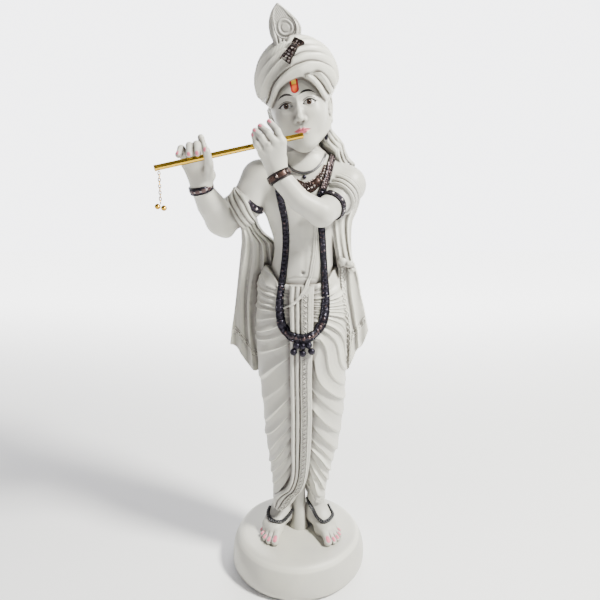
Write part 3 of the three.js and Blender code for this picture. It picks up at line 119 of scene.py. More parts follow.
def ball(centre, radii):
    cx, cy, cz = centre
    rx, ry, rz = radii

    def form(x, y, z):
        a, b, c = (x - cx) / rx, (y - cy) / ry, (z - cz) / rz
        inner = length3(a, b, c)
        return inner * (inner - 1) / (length3(a / rx, b / ry, c / rz) + 1e-9)

    return form


def limb(a, b, start_radius, end_radius):
    ax, ay, az = a
    dx, dy, dz = b[0] - ax, b[1] - ay, b[2] - az
    square = dx * dx + dy * dy + dz * dz

    def form(x, y, z):
        u, v, w = x - ax, y - ay, z - az
        t = clamp((u * dx + v * dy + w * dz) / square, 0, 1)
        return length3(u - dx * t, v - dy * t, w - dz * t) - start_radius - (end_radius - start_radius) * t

    return form


def united(forms):
    def form(x, y, z):
        d = forms[0](x, y, z)
        for other in forms[1:]:
            d = np.minimum(d, other(x, y, z))
        return d

    return form


def chain(points, radii):
    """Limbs from each point to the next."""
    return united([limb(points[i], points[i + 1], radii[i], radii[i + 1]) for i in range(len(points) - 1)])


def joined(width, d, e):
    h = np.maximum(width - np.abs(d - e), 0) / width
    return np.minimum(d, e) - h * h * (width / 4)


def cut(width, d, e):
    """d with e taken away, rounded over the given width."""
    h = np.maximum(width - np.abs(d + e), 0) / width
    return np.maximum(d, -e) + h * h * (width / 4)


def blend(width, *forms):
    def form(x, y, z):
        d = forms[0](x, y, z)
        for other in forms[1:]:
            d = joined(width, d, other(x, y, z))
        return d

    return form


def turned(rx, ry, rz):
    cx, sx, cy, sy, cz, sz = (g(a) for a in (rx, ry, rz) for g in (math.cos, math.sin))
    about_x = np.array([[1, 0, 0], [0, cx, -sx], [0, sx, cx]])
    about_y = np.array([[cy, 0, sy], [0, 1, 0], [-sy, 0, cy]])
    about_z = np.array([[cz, -sz, 0], [sz, cz, 0], [0, 0, 1]])
    return about_x @ about_y @ about_z


def in_frame(centre, turn, x, y, z):
    """Places as a turned frame at a centre has them."""
    m = turn.T
    u, v, w = x - centre[0], y - centre[1], z - centre[2]
    return [m[k, 0] * u + m[k, 1] * v + m[k, 2] * w for k in range(3)]


def framed(centre, turn, form):
    return lambda x, y, z: form(*in_frame(centre, turn, x, y, z))


def fold(phase):
    t = phase - np.floor(phase)
    return np.where(t < 0.8, (t / 0.8) ** 2.6, 1 - smoothstep(0.8, 1, t))


def rounded(side, flat, edge):
    """The distance to where two walls meet, with a rounded edge."""
    a, b = np.maximum(side + edge, 0), np.maximum(flat + edge, 0)
    return np.sqrt(a * a + b * b) + np.minimum(np.maximum(side, flat) + edge, 0) - edge


def ridge(distance, width):
    """1 on a line and 0 a width away from it."""
    t = clamp(1 - np.abs(distance) / width, 0, 1)
    return t * t * (3 - 2 * t)


def gathered(width, groups):
    """A union of forms, each worked out only near the sphere [centre, radius] that holds it."""

    def outer(x, y, z):
        d = np.full(x.shape, 1e6, f32)
        for (cx, cy, cz), radius, form in groups:
            far = length3(x - cx, y - cy, z - cz) - radius
            near = (far <= 14) & (far <= d + width)
            e = far
            if near.any():
                e[near] = form(x[near], y[near], z[near])
            d = joined(width, d, e)
        return d

    return outer


# Head, in its own turned frame: x to the viewer's right, y back, z up from between the ears
HEAD_CENTRE = (4, -2, 835)
HEAD_TURN = turned(0.03, math.radians(-11), -0.07)
EYE_SPACING = 20
EYE_DEPTH = -43
EYE_RADIUS = 11
EYE_HALF = 12.5  # half the width between an eye's corners
UPPER_LID = along([[-EYE_HALF, -1.2], [-8, 2.2], [-2, 4.6], [3, 4.4], [8, 2.6], [EYE_HALF, 0.2]])
LOWER_LID = along([[-EYE_HALF, -1.2], [-8, -3.0], [-2, -4.2], [3, -4.2], [8, -2.8], [EYE_HALF, 0.2]])
BROW = along([[4.5, 13.0], [10, 16.5], [18, 18.6], [26, 17.4], [33, 12.5]])
LIP_TOP = along([[-15, -42.6], [-9, -40.6], [-3.6, -38.6], [0, -39.6], [3.6, -38.6], [9, -40.6], [15, -42.6]])
LIP_BOTTOM = along([[-15, -43.4], [-9, -46.6], [-4, -49.0], [0, -49.6], [4, -49.0], [9, -46.6], [15, -43.4]])
LIP_LINE = along([[-16, -42.6], [-9, -43.3], [-3, -43.0], [0, -44.0], [3, -43.0], [9, -43.3], [16, -42.6]])


def outward_of_eye(x):
    """Across one eye from its inner corner to its outer one, whichever side x is on."""
    return np.abs(x) - EYE_SPACING


def face():
    skull = blend(26, ball((0, 6, 16), (50, 62, 58)), ball((0, -13, -16), (42, 45, 54)))
    cheeks = [ball((side * 24, -37, -20), (17, 16.5, 20)) for side in (-1, 1)]
    chin = ball((0, -39, -60), (15, 15.5, 14.5))
    jaw = [limb((side * 38, -4, -36), (side * 9, -38, -61), 12, 11) for side in (-1, 1)]
    nose = blend(5, limb((0, -54, 9), (0, -63.5, -21), 3.6, 5.2), ball((0, -66, -24.5), (6.4, 6.2, 5.4)))
    wings = [ball((side * 7.4, -59.5, -26), (4.0, 6, 4.1)) for side in (-1, 1)]
    nostrils = [ball((side * 4.2, -63.5, -29.6), (2.0, 3, 1.5)) for side in (-1, 1)]
    muzzle = ball((0, -46, -40), (19, 13, 15))
    upper_lip = [limb((side * 2.6, -60.2, -41.2), (side * 13, -55.4, -42.8), 2.7, 1.1) for side in (-1, 1)]
    lower_lip = limb((-6.5, -58.6, -46.2), (6.5, -58.6, -46.2), 3.1, 3.1)
    lower_corner = [limb((side * 6.5, -58.4, -46.1), (side * 13, -55.2, -43.2), 2.7, 1) for side in (-1, 1)]
    sockets = [ball((side * 19, -63, 2), (13.5, 11.5, 9)) for side in (-1, 1)]
    eyes = [ball((side * EYE_SPACING, EYE_DEPTH, 0), (EYE_RADIUS,) * 3) for side in (-1, 1)]

    def form(x, y, z):
        d = skull(x, y, z)
        for width, parts in ((16, jaw + [chin]), (15, cheeks), (14, [muzzle]), (7, [nose]), (3, wings)):
            for part in parts:
                d = joined(width, d, part(x, y, z))
        for part in nostrils:
            d = cut(1.5, d, part(x, y, z))
        front = y < -30
        d = d + 0.9 * front * np.exp(-((x / 2.3) ** 2)) * smoothstep(-40, -36, z) * smoothstep(-30, -33, z)
        for part in upper_lip:
            d = joined(2, d, part(x, y, z))
        lower = lower_lip(x, y, z)
        for part in lower_corner:
            lower = joined(2, lower, part(x, y, z))
        d = joined(1.6, d, lower)
        parting = np.abs(z - LIP_LINE(x)[0]) * 0.8
        d = d + 0.9 * front * (y < -50) * smoothstep(1.4, 0, parting) * smoothstep(16, 12, np.abs(x))
        for part in sockets:
            d = cut(8, d, part(x, y, z))
        across = outward_of_eye(x)
        upper, lower = UPPER_LID(across)[0], LOWER_LID(across)[0]
        for eye in eyes:
            e = eye(x, y, z)
            lid = e - 1.5
            d = joined(4, d, lid)
            crease = np.exp(-(((z - upper - 3.2) / 0.8) ** 2)) * smoothstep(13, 9, np.abs(across))
            d = d + 0.8 * crease * (e < 8) * front
            opening = np.maximum(np.maximum(z - upper, lower - z) * 0.9, y + 36)
            opening = np.where(np.abs(across) < EYE_HALF, opening, 4)
            near = e < 6
            d = np.where(near, np.maximum(d, np.minimum(-opening, e + 6)), d)
        for eye in eyes:
            d = np.minimum(d, eye(x, y, z))
        ax = np.abs(x)
        brow = np.abs(z - BROW(ax)[0]) / 2.2
        return d - 0.5 * front * smoothstep(1, 0, brow) * smoothstep(35, 30, ax) * smoothstep(3, 6, ax)

    return form


def ear(side):
    rim = chain(
        [(side * 50, -2, 2), (side * 53, 3, 12), (side * 57, 12, 10), (side * 57, 16, -1),
         (side * 55, 11, -14), (side * 52, 4, -24)],
        [2.6, 3, 3.2, 3, 2.8, 3],
    )
    bowl = chain([(side * 51, 6, 6), (side * 52, 9, -4), (side * 50, 5, -16)], [5, 5.5, 4.5])
    inner = chain(
        [(side * 53, 2, 5), (side * 54.5, 8, 4), (side * 54, 9, -6), (side * 51.5, 2, -10)],
        [1.6, 1.8, 1.8, 1.8],
    )
    lobe = ball((side * 51, 1, -29), (4.2, 5, 6.5))
    hollow = ball((side * 58, 3, -6), (6.5, 4.4, 8))

    def form(x, y, z):
        d = joined(2.5, bowl(x, y, z), rim(x, y, z))
        d = joined(3, d, lobe(x, y, z))
        d = cut(2, d, hollow(x, y, z))
        return joined(1.5, d, inner(x, y, z))

    return form


# Turban: rolls that fan out from an axis through both ears, over a dome. Each edge between two rolls is
# the angle above the ears' level at each place across. Two narrow rolls lie under the wide one on the
# viewer's right, and rolls that lap over each other lie above it on the left.
ROLL_EDGES = [along(knots) for knots in (
    [[-62, -0.5], [-50, -0.2], [-40, 0.1], [-32, 0.22], [-25, 0.3], [-16, 0.37], [-7, 0.4], [2, 0.42],
     [17, 0.42], [27, 0.32], [36, 0.18], [42, 0.04], [46, -0.14], [50, -0.45], [62, -0.7]],
    [[-62, -0.48], [-50, -0.13], [-40, 0.15], [-32, 0.27], [-25, 0.35], [-16, 0.41], [-7, 0.44], [2, 0.47],
     [17, 0.48], [27, 0.52], [34, 0.52], [42, 0.47], [50, 0.38], [56, 0.2], [60, 0.0], [70, -0.4]],
    [[-62, -0.46], [-50, -0.11], [-40, 0.17], [-32, 0.29], [-25, 0.37], [-16, 0.43], [-7, 0.46], [2, 0.49],
     [17, 0.51], [28, 0.55], [39, 0.59], [53, 0.62], [64, 0.66], [74, 0.7]],
    [[-74, 0.35], [-53, 0.42], [-46, 0.45], [-35, 0.52], [-24, 0.56], [-11, 0.6], [2, 0.64], [18, 0.68],
     [32, 0.73], [50, 0.79], [63, 0.86], [74, 1.0]],
    [[-74, 0.74], [-60, 0.68], [-51, 0.66], [-40, 0.69], [-28, 0.72], [-18, 0.75], [10, 0.8], [24, 0.86],
     [43, 0.93], [61, 1.05], [74, 1.2]],
    [[-74, 1.0], [-57, 0.88], [-46, 0.86], [-32, 0.87], [-17, 0.9], [17, 0.97], [36, 1.06], [54, 1.18],
     [74, 1.4]],
    [[-74, 1.25], [-58, 1.12], [-43, 1.06], [-21, 1.04], [17, 1.14], [36, 1.26], [54, 1.4], [74, 1.6]],
    [[-74, 1.55], [-43, 1.35], [-21, 1.3], [17, 1.36], [36, 1.48], [54, 1.62], [74, 1.85]],
)]
BRIM = along([
    [-66, -2], [-50, -1], [-42, 9], [-33, 21], [-25, 30], [-10, 37], [0, 39], [12, 41], [18, 39], [33, 25],
    [40, 12], [44, -2], [49, -9], [56, -14], [68, -12],
])
TURBAN_NAPE_ANGLE = 3.35
TURBAN_RELIEF = 9.5
ROUND_ROLLS = 3  # the rolls above these lap over each other on the left


def turban():
    dome = ball((3, 6, 49), (67, 72, 63))

    def form(x, y, z):
        angle = np.arctan2(z, -(y - 8))
        angle = np.where(angle < -1.6, angle + 2 * math.pi, angle)
        reach = np.hypot(y - 8, z)
        level = np.arcsin(clamp(z / np.maximum(reach, 70 - 0.008 * x * x), -1, 1))
        angle = np.where((y < 4) & (angle < 1.2), level, angle)
        edges = [edge(x)[0] for edge in ROLL_EDGES]
        swell = np.zeros_like(x)
        rib = np.zeros_like(x)
        left = smoothstep(8, -6, x)
        for k in range(len(edges) - 1):
            width = np.maximum(edges[k + 1] - edges[k], 0.002)
            t = (angle - edges[k]) / width
            inside = (t >= 0) & (t < 1)
            if not inside.any():
                continue
            t = clamp(t, 0, 1)
            round_roll = np.abs(np.sin(math.pi * t)) ** 0.62
            lip = smoothstep(0.13, 0.02, np.minimum(t, 1 - t))
            lapped = 0.12 + 0.6 * np.abs(2 * t - 1) ** 2.6 + 0.3 * lip
            share = left if k >= ROUND_ROLLS else 0
            height = round_roll * (1 - share) + lapped * share
            tall = np.maximum(smoothstep(0.02, 0.22, width), 0.8 * share)
            swell = np.where(inside, height * (0.15 + 0.85 * tall) * smoothstep(0.0, 0.1, width), swell)
            creases = 0.12 * (1 - np.abs(np.sin(0.9 * x - 6 * angle))) if k < ROUND_ROLLS else 0
            rib = np.where(inside, creases, rib)
        count = (angle - edges[-1]) / 0.26
        above = count >= 0
        swell = np.where(above, 0.85 * np.abs(np.sin(math.pi * count)) ** 0.62, swell)
        d = dome(x, y, z) - TURBAN_RELIEF * swell * smoothstep(12, 40, reach) + rib
        brim = BRIM(x)[0]
        brim = np.where(brim < 0, brim * smoothstep(8, -14, y), brim)
        front = np.where(y < 8, brim - z, -9)
        side = np.maximum(front, (angle - TURBAN_NAPE_ANGLE) * np.maximum(reach, 12))
        return rounded(side, d, 4.5)

    return form


# Peacock feather: a leaf with barbs that rise to its tip, and a ringed eye
FEATHER_FOOT, FEATHER_TIP = -14, 79
FEATHER_OUTLINE = along([
    [FEATHER_FOOT, 12], [0, 14], [19, 21], [32, 26.5], [43, 27.5], [54, 23.5], [64, 16.5], [72, 9],
    [FEATHER_TIP, 1.5],
])
FEATHER_EYE_HEIGHT = 41
FEATHER_EYE_RADIUS = 11.7


def feather(x, y, z):
    x = x + 13 * smoothstep(36, 86, z)
    half = FEATHER_OUTLINE(clamp(z, FEATHER_FOOT, FEATHER_TIP))[0]
    rise = z - FEATHER_EYE_HEIGHT
    ring = np.hypot(x - 1, rise) / FEATHER_EYE_RADIUS
    eye = 1.9 * ridge(ring - 1, 0.26) + 1.3 * smoothstep(0.66, 0.5, ring)
    spread = np.abs(x) / (half + 1)
    tall = rise * np.where(rise > 0, 0.5, 1)
    drop = np.hypot(x * (1 + 0.25 * smoothstep(50, 75, z)), tall) / FEATHER_EYE_RADIUS
    tear = 1.6 * ridge(drop - 1.5, 0.16)
    barbs = np.where(drop > 1.62, 2.6 * np.abs(np.sin(math.pi * (spread * 3.4 + 0.004 * z))) ** 0.8, 0)
    vane = np.where((drop < 1.4) & (ring > 1.3), 0.5 * np.abs(np.sin(0.9 * x + 0.25 * np.abs(rise))), 0)
    side = np.maximum(np.maximum((np.abs(x) - half) * 0.85, FEATHER_FOOT - z), z - FEATHER_TIP)
    inside = smoothstep(0, 6, half - np.abs(x))
    relief = (eye + barbs + tear + vane) * inside
    back = 1.4 * np.abs(np.sin(math.pi * spread * 3.4)) * inside
    flat = np.abs(y) - 5 - np.where(y < 0, relief, back)
    return rounded(side, flat, 2.2) * 0.8


def strands(points, radii, grooves, depth, twist):
    """A lock of hair along points, with twisting grooves."""
    points = [np.array(p, float) for p in points]

    def form(x, y, z):
        best = np.full(x.shape, 1e6, f32)
        turn = np.zeros_like(x)
        for i in range(len(points) - 1):
            a, d = points[i], points[i + 1] - points[i]
            u, v, w = x - a[0], y - a[1], z - a[2]
            t = clamp((u * d[0] + v * d[1] + w * d[2]) / (d @ d), 0, 1)
            ex, ey, ez = u - d[0] * t, v - d[1] * t, w - d[2] * t
            e = length3(ex, ey, ez) - radii[i] - (radii[i + 1] - radii[i]) * t
            nearer = e < best
            best = np.where(nearer, e, best)
            turn = np.where(nearer, np.arctan2(ex, -ey) * grooves + twist * (i + t), turn)
        return best + depth * (1 - np.abs(np.sin(turn)))

    return form


def hair():
    locks = []
    count = 8
    for i in range(count):
        t = i / (count - 1)
        points, radii = [], []
        root_x, reach_x = -28 + 64 * t, -48 + 142 * t
        drop = 118 + 26 * math.sin(math.pi * t)
        for j in range(10):
            s = j / 9
            wave = 5.5 * math.sin(s * 10 + i * 1.9)
            late = clamp((t - 0.6) / 0.4, 0, 1)
            points.append((
                root_x + (reach_x - root_x) * s + wave,
                44 - 12 * (t - 0.4) ** 2 - 44 * s * late * late * (3 - 2 * late) + 4 * math.sin(s * 7 + i),
                842 - drop * s ** 0.9 - 20 * s,
            ))
            radii.append(13.5 - 6.5 * s * s)
        locks.append(strands(points, radii, 3, 1.8, 0.55))
    curls = [
        [(55, 16, 812), (58, 12, 800), (66, 9, 789), (74, 7, 781), (81, 5, 772), (85, 3, 760), (91, 3, 748),
         (102, 2, 738)],
        [(52, 12, 796), (58, 7, 787), (67, 4, 777), (75, 2, 769), (79, 0, 757), (84, 0, 746), (91, -2, 735)],
        [(50, 8, 785), (54, 2, 777), (63, -1, 768), (70, -3, 762), (73, -5, 752), (77, -6, 743),
         (83, -7, 732)],
    ]
    curls = [strands(c, np.linspace(6.5, 4, len(c)), 1.5, 1.2, 0.9) for c in curls]
    return blend(1.2, blend(3, *locks), *curls)


# Bare body above the waist
TORSO_LOW, TORSO_HIGH = 480, 755
TORSO = [
    [480, 6, 4, 66, 44], [540, 8, 0, 60, 41], [590, 12, 0, 56, 39], [640, 8, -1, 65, 42],
    [690, 6, -1, 76, 42], [725, 6, 3, 62, 34], [755, 8, 6, 36, 28],
]
SHOULDERS = [(-68, 0, 711), (92, 0, 701)]
UPPER_ARMS = [(-92, -15, 669), (68, -40, 669)]
ELBOWS = [(-136, -42, 640), (40, -88, 651)]
FOREARMS = [(-149, -76, 667), (3, -98, 673)]
WRISTS = [(-159, -103, 693), (-32, -106, 714)]


def torso():
    section = along(TORSO)
    parts = [
        limb((9, 6, 720), (7, 2, 800), 31, 28),
        ball((-30, -18, 676), (38, 25, 34)),
        ball((44, -18, 676), (38, 25, 34)),
        limb(SHOULDERS[0], (0, 4, 718), 35, 32),
        limb(SHOULDERS[1], (20, 2, 714), 33, 32),
        limb((85, 5, 710), (14, 12, 751), 25, 26),
    ]
    navel = ball((9, -45, 543), (4, 9, 4.4))
    collar_bones = [limb((3, -28, 722), (-52, -14, 733), 4, 4), limb((15, -28, 722), (70, -16, 731), 4, 4)]

    def form(x, y, z):
        cx, cy, rx, ry = section(clamp(z, TORSO_LOW, TORSO_HIGH))
        a, b = (x - cx) / rx, (y - cy) / ry
        inner = np.hypot(a, b)
        wall = inner * (inner - 1) / (np.sqrt(a * a / (rx * rx) + b * b / (ry * ry)) + 1e-9)
        d = np.maximum(wall, np.maximum(z - TORSO_HIGH, TORSO_LOW - z))
        for part in parts:
            d = joined(16, d, part(x, y, z))
        for part in collar_bones:
            d = joined(9, d, part(x, y, z) + 3)
        front = smoothstep(-12, -30, y)
        middle = 10.5 + 0.02 * (640 - z)
        line = 0.7 * ridge(x - middle, 4.5) * smoothstep(532, 550, z) * smoothstep(668, 640, z)
        for height, bend in ((583, 7), (607, 9), (634, 13)):
            curve = height - bend * ((x - middle) / 38) ** 2
            line = line + 0.55 * ridge(z - curve, 3.6) * smoothstep(34, 22, np.abs(x - middle))
        belly = 0.8 * ridge(z - (534 - 0.004 * (x - 9) ** 2), 3.2) * smoothstep(36, 20, np.abs(x - 9))
        return cut(3, d + (line + belly) * front, navel(x, y, z))

    return form


far_arm = chain([SHOULDERS[0], UPPER_ARMS[0], ELBOWS[0]], [36, 31, 29])
near_arm = chain([SHOULDERS[1], UPPER_ARMS[1], ELBOWS[1]], [33, 24, 22])
arms_form = blend(
    6,
    far_arm,
    limb(ELBOWS[0], (-130, -37, 622), 22, 16),
    chain([ELBOWS[0], FOREARMS[0], WRISTS[0]], [28, 24, 17]),
    near_arm,
    chain([ELBOWS[1], FOREARMS[1], WRISTS[1]], [22.5, 19, 17]),
)


# Hands. Each finger is three joints' places, and a nail from its root to its free edge.
FAR_FINGERS = [
    [(-148, -118, 740), (-149, -124, 756), (-152, -126, 770)],
    [(-158, -120, 739), (-157, -136, 758), (-153, -153, 744)],
    [(-169, -120, 736), (-168, -137, 756), (-165, -156, 742)],
    [(-179, -118, 731), (-182, -133, 752), (-184, -145, 742)],
]
FAR_THUMB = [(-143, -114, 713), (-138, -141, 730), (-139, -154, 747)]
FAR_NAILS = [
    [(-153, -157.5, 744.5), (-152.6, -158, 739.5)],
    [(-165, -160.5, 742.5), (-164.6, -160.5, 737.5)],
    [(-185, -149, 748), (-185.4, -149.5, 744)],
    [(-140.5, -158, 747), (-141, -158, 751.5)],
]
NEAR_FINGERS = [
    [(-25, -121, 764), (-32, -124, 780), (-44, -114, 795)],
    [(-35, -124, 762), (-46, -130, 776), (-58, -121, 787)],
    [(-46, -124, 754), (-56, -132, 769), (-66, -125, 780)],
    [(-55, -121, 747), (-64, -130, 761), (-68, -125, 774)],
]
NEAR_THUMB = [(-27, -100, 740), (-25, -90, 754), (-38, -88, 766)]
NEAR_NAILS = [
    [(-42, -119.5, 793.5), (-46.5, -117, 798)],
    [(-57, -126.5, 787), (-61.5, -123.5, 790.5)],
    [(-66, -130, 779.5), (-69.6, -127.5, 783)],
    [(-70, -129.5, 772.5), (-72.2, -127, 776)],
]


def hand(wrist, fingers, thumb, depth):
    def knuckle(i, share):
        return tuple(v * share + w * (1 - share) for v, w in zip(fingers[i][0], wrist))

    def digit(joints, radii):
        points, sizes = [joints[0]], [radii[0]]
        for i in (0, 1):
            points.append(tuple((a + b) / 2 for a, b in zip(joints[i], joints[i + 1])))
            sizes.append((radii[i] + radii[i + 1]) / 2 - 0.55)
            points.append(joints[i + 1])
            sizes.append(radii[i + 1])
        return chain(points, sizes)

    palm = [limb(knuckle(i, 0.05), knuckle(i, 0.98), depth + 4, depth - 1) for i in range(4)]
    heel = limb(tuple(0.6 * w + 0.4 * t for w, t in zip(wrist, thumb[0])), thumb[0], depth + 4, depth + 1)
    back = blend(8, *palm, heel)
    digits = blend(1.4, *[digit(f, [7.4, 6.5, 5.3]) for f in fingers])
    thumb_form = digit(thumb, [9.4, 7.1, 5.9])

    def form(x, y, z):
        return joined(4, joined(4, back(x, y, z), digits(x, y, z)), thumb_form(x, y, z))

    return form


# Dhoti: two wrapped legs below the hips. Its folds fan out from the middle of the hips: each is
# numbered, with its height at the outer side of the leg and at the pleats.
LEGS = [
    [[40, -31, 12, 24, 25], [82, -30, 12, 24, 28], [137, -28, 9, 30, 34], [200, -24, 5, 42, 42],
     [281, -22, 0, 50, 51], [364, -25, 0, 55, 56], [440, -25, 1, 58, 58], [500, -20, 2, 59, 51],
     [525, -18, 2, 60, 46], [545, -14, 2, 55, 43], [570, -10, 2, 48, 40]],
    [[40, 36, 10, 22, 25], [82, 36, 10, 24, 28], [137, 40, 6, 30, 34], [200, 42, 2, 43, 43],
     [281, 44, -2, 50, 52], [364, 44, -2, 53, 57], [440, 42, 0, 54, 58], [500, 36, 2, 54, 51],
     [545, 30, 2, 48, 43], [570, 26, 2, 46, 40]],
]
OUTER_FOLDS = [
    [[73, 19], [96, 18], [121, 17], [148, 16], [172, 15], [210, 14], [240, 13], [285, 12], [330, 11],
     [390, 9.8], [414, 8.8], [430, 7.8], [452, 6.8], [476, 5.8], [491, 4.8], [507, 3.8], [518, 2.8],
     [531, 1.8], [541, 0.8], [548, -0.2], [556, -1.2]],
    [[60, 22], [69, 21], [82, 20], [105, 19], [128, 18], [150, 17], [177, 16], [216, 15], [255, 14],
     [291, 13], [325, 11.8], [354, 10.8], [379, 9.8], [405, 8.8], [433, 7.8], [456, 6.8], [470, 5.8],
     [481, 4.8], [495, 3.8], [513, 2.8], [538, 1.8], [550, 0.8], [562, -0.2]],
]
INNER_FOLDS = [
    [[100, 20], [135, 19], [173, 18], [211, 17], [240, 16], [265, 15], [297, 14], [325, 13], [367, 12],
     [397, 11], [430, 9.8], [449, 8.8], [458, 7.8], [466, 6.8], [472, 5.8], [478, 4.8], [486, 3.8],
     [497, 2.8], [504, 1.8], [509, 0.8], [514, -0.2], [520, -1.2]],
    [[112, 22], [140, 21], [165, 20], [184, 19], [200, 18], [223, 17], [256, 16], [297, 15], [335, 14],
     [375, 13], [424, 11.8], [444, 10.8], [456, 9.8], [464, 8.8], [470, 7.8], [474, 6.8], [478, 5.8],
     [482, 4.8], [486, 3.8], [491, 2.8], [497, 1.8], [506, 0.8], [521, -0.2]],
]
STEEP_FOLDS = [(440, 500), (330, 420)]
HEM_HEIGHT, WAIST_HEIGHT, WAIST_SIDE_HEIGHT, FOLD_DEPTH = 58, 520, 553, 6.5


def embroidery(run, rise, height):
    """Raised border work along a hem: a plain edge, a row of beads and a row of points."""
    edge = ridge(rise - 0.1 * height, 0.16 * height) + ridge(rise - 0.93 * height, 0.12 * height)
    beads = ridge(rise - 0.36 * height, 0.2 * height) * np.abs(np.sin(run * 0.62)) ** 0.7
    points = ridge(rise - (0.68 + 0.16 * np.sin(run * 0.62)) * height, 0.14 * height)
    return clamp(edge + beads + points, 0, 1.1) * ((rise > 0) & (rise < 1.1 * height))


def leg(side):
    section, outer, inner = along(LEGS[side]), along(OUTER_FOLDS[side]), along(INNER_FOLDS[side])
    outward = 1 if side else -1

    def form(x, y, z):
        h = clamp(z, HEM_HEIGHT, WAIST_SIDE_HEIGHT)
        cx, cy, rx, ry = section(h)
        u, v = (x - cx) * outward, -(y - cy)
        reach = np.hypot(u / rx, v / ry) + 1e-9
        wall = reach * (reach - 1) / (np.hypot(u / (rx * rx), v / (ry * ry)) + 1e-9)
        turn = np.arctan2(v, u)
        turn = np.where(v > 0, turn, -turn * 0.35)
        steep = smoothstep(*STEEP_FOLDS[side], h)
        share = clamp((turn - 0.35 + 0.2 * steep) / (1.75 - 0.3 * steep), 0, 1) ** (1.7 - 0.8 * steep)
        below, count, above = (outer(h + e)[0] * (1 - share) + inner(h + e)[0] * share for e in (-4, 0, 4))
        spacing = 8 / (np.abs(above - below) + 0.1)
        top = WAIST_HEIGHT + (WAIST_SIDE_HEIGHT - WAIST_HEIGHT) * smoothstep(6, 50, u)
        low = HEM_HEIGHT + (46 * smoothstep(8, -26, u) * smoothstep(-20, 10, v) if side else 0)
        strength = smoothstep(top + 4, top - 16, h) * smoothstep(low + 8, low + 34, h)
        uneven = 0.72 + 0.28 * np.sin(count * 2.4 + turn * 1.3 + side)
        room = clamp(spacing / 11, 0.4, 1)
        depth = FOLD_DEPTH * 1.1 * strength * (0.45 + 0.55 * smoothstep(0.1, 0.8, turn)) * uneven * room
        finer = 0.45 * np.abs(np.sin(math.pi * (count * 2 + 0.35))) * strength * room
        border = embroidery(turn * 26, z - low, 11) * 1.1 * smoothstep(-30, 0, v)
        skin = wall + 2.5 - fold(count) * depth - finer - border
        end = np.maximum(z - top, low - z)
        return rounded(end, skin, 3)

    return form


# Pleats that hang down the front, with an embroidered strip on their right
PLEATS_LOW, PLEATS_HIGH, ZIGZAG_PITCH = 56, 521, 9.5
PLEATS = along([
    [56, -41, 9, -26], [66, -34, 17, -28], [75, -29, 20, -29], [90, -20, 18, -33], [105, -7, 16, -37],
    [140, 3, 16, -45], [200, 6, 19, -53], [281, 7, 20, -60], [348, 6, 20, -65], [440, 7, 21, -66],
    [500, 7, 22, -60], [521, 8, 22, -54],
])


def pleats(x, y, z):
    h = clamp(z, PLEATS_LOW, PLEATS_HIGH)
    middle, half, front = PLEATS(h)
    across = (x - middle) / half
    front = front + 12 * smoothstep(115, 75, h) * np.maximum(-across, 0) ** 1.5
    folds = 4.5 * np.abs(np.sin(math.pi * (across + 1.02) * 2.22)) ** 0.7
    panel = 4.5 * smoothstep(-0.12, -0.02, across) * (1 - 0.3 * smoothstep(0.75, 0.78, across))
    relief = np.where(across < -0.12, folds, panel)
    strip = (across - 0.32) * half
    zigzag = 3.2 * (np.abs(((z / ZIGZAG_PITCH) % 1) - 0.5) * 4 - 1)
    work = ridge(np.abs(strip) - 5.6, 1.0) + ridge(strip - zigzag, 1.6)
    from_dot = ((z + ZIGZAG_PITCH / 2) % ZIGZAG_PITCH) - ZIGZAG_PITCH / 2
    dots = ridge(np.hypot(strip + 3 * np.sign(zigzag), from_dot), 2.2)
    work = clamp(work + dots, 0, 1) * (np.abs(strip) < 6.6) * smoothstep(512, 504, z)
    relief = relief + 1.9 * work + embroidery(x * 1.0, z - 57, 10) * (across < 0.9)
    dx = np.abs(across) * half - half
    dy = np.abs(y - front - 14) - 14 - np.where(y < front + 14, relief, 0)
    return np.maximum(rounded(dx, dy, 3), np.maximum(z - PLEATS_HIGH, PLEATS_LOW - z)) * 0.85


waist_cloth = chain([(-50, -22, 525), (-20, -43, 517), (8, -47, 516), (36, -43, 518), (66, -22, 527)],
                    [5] * 5)


# Feet, each turned outward, with five toes: the place of each toe's tip and its radius
FEET = [
    ((-31, 12), (-50, -32), [(-46, -66, 9), (-59, -61, 7), (-68, -51, 6.4), (-74, -38, 6), (-76, -23, 5.6)]),
    ((37, 10), (57, -34), [(61, -67, 9), (73, -61, 7), (81, -52, 6.4), (86, -40, 6), (87, -26, 5.6)]),
]


def toe_line(ankle, toe):
    """Unit vector from a toe's tip back to the ankle."""
    dx, dy = ankle[0] - toe[0], ankle[1] - toe[1]
    away = math.hypot(dx, dy)
    return dx / away, dy / away


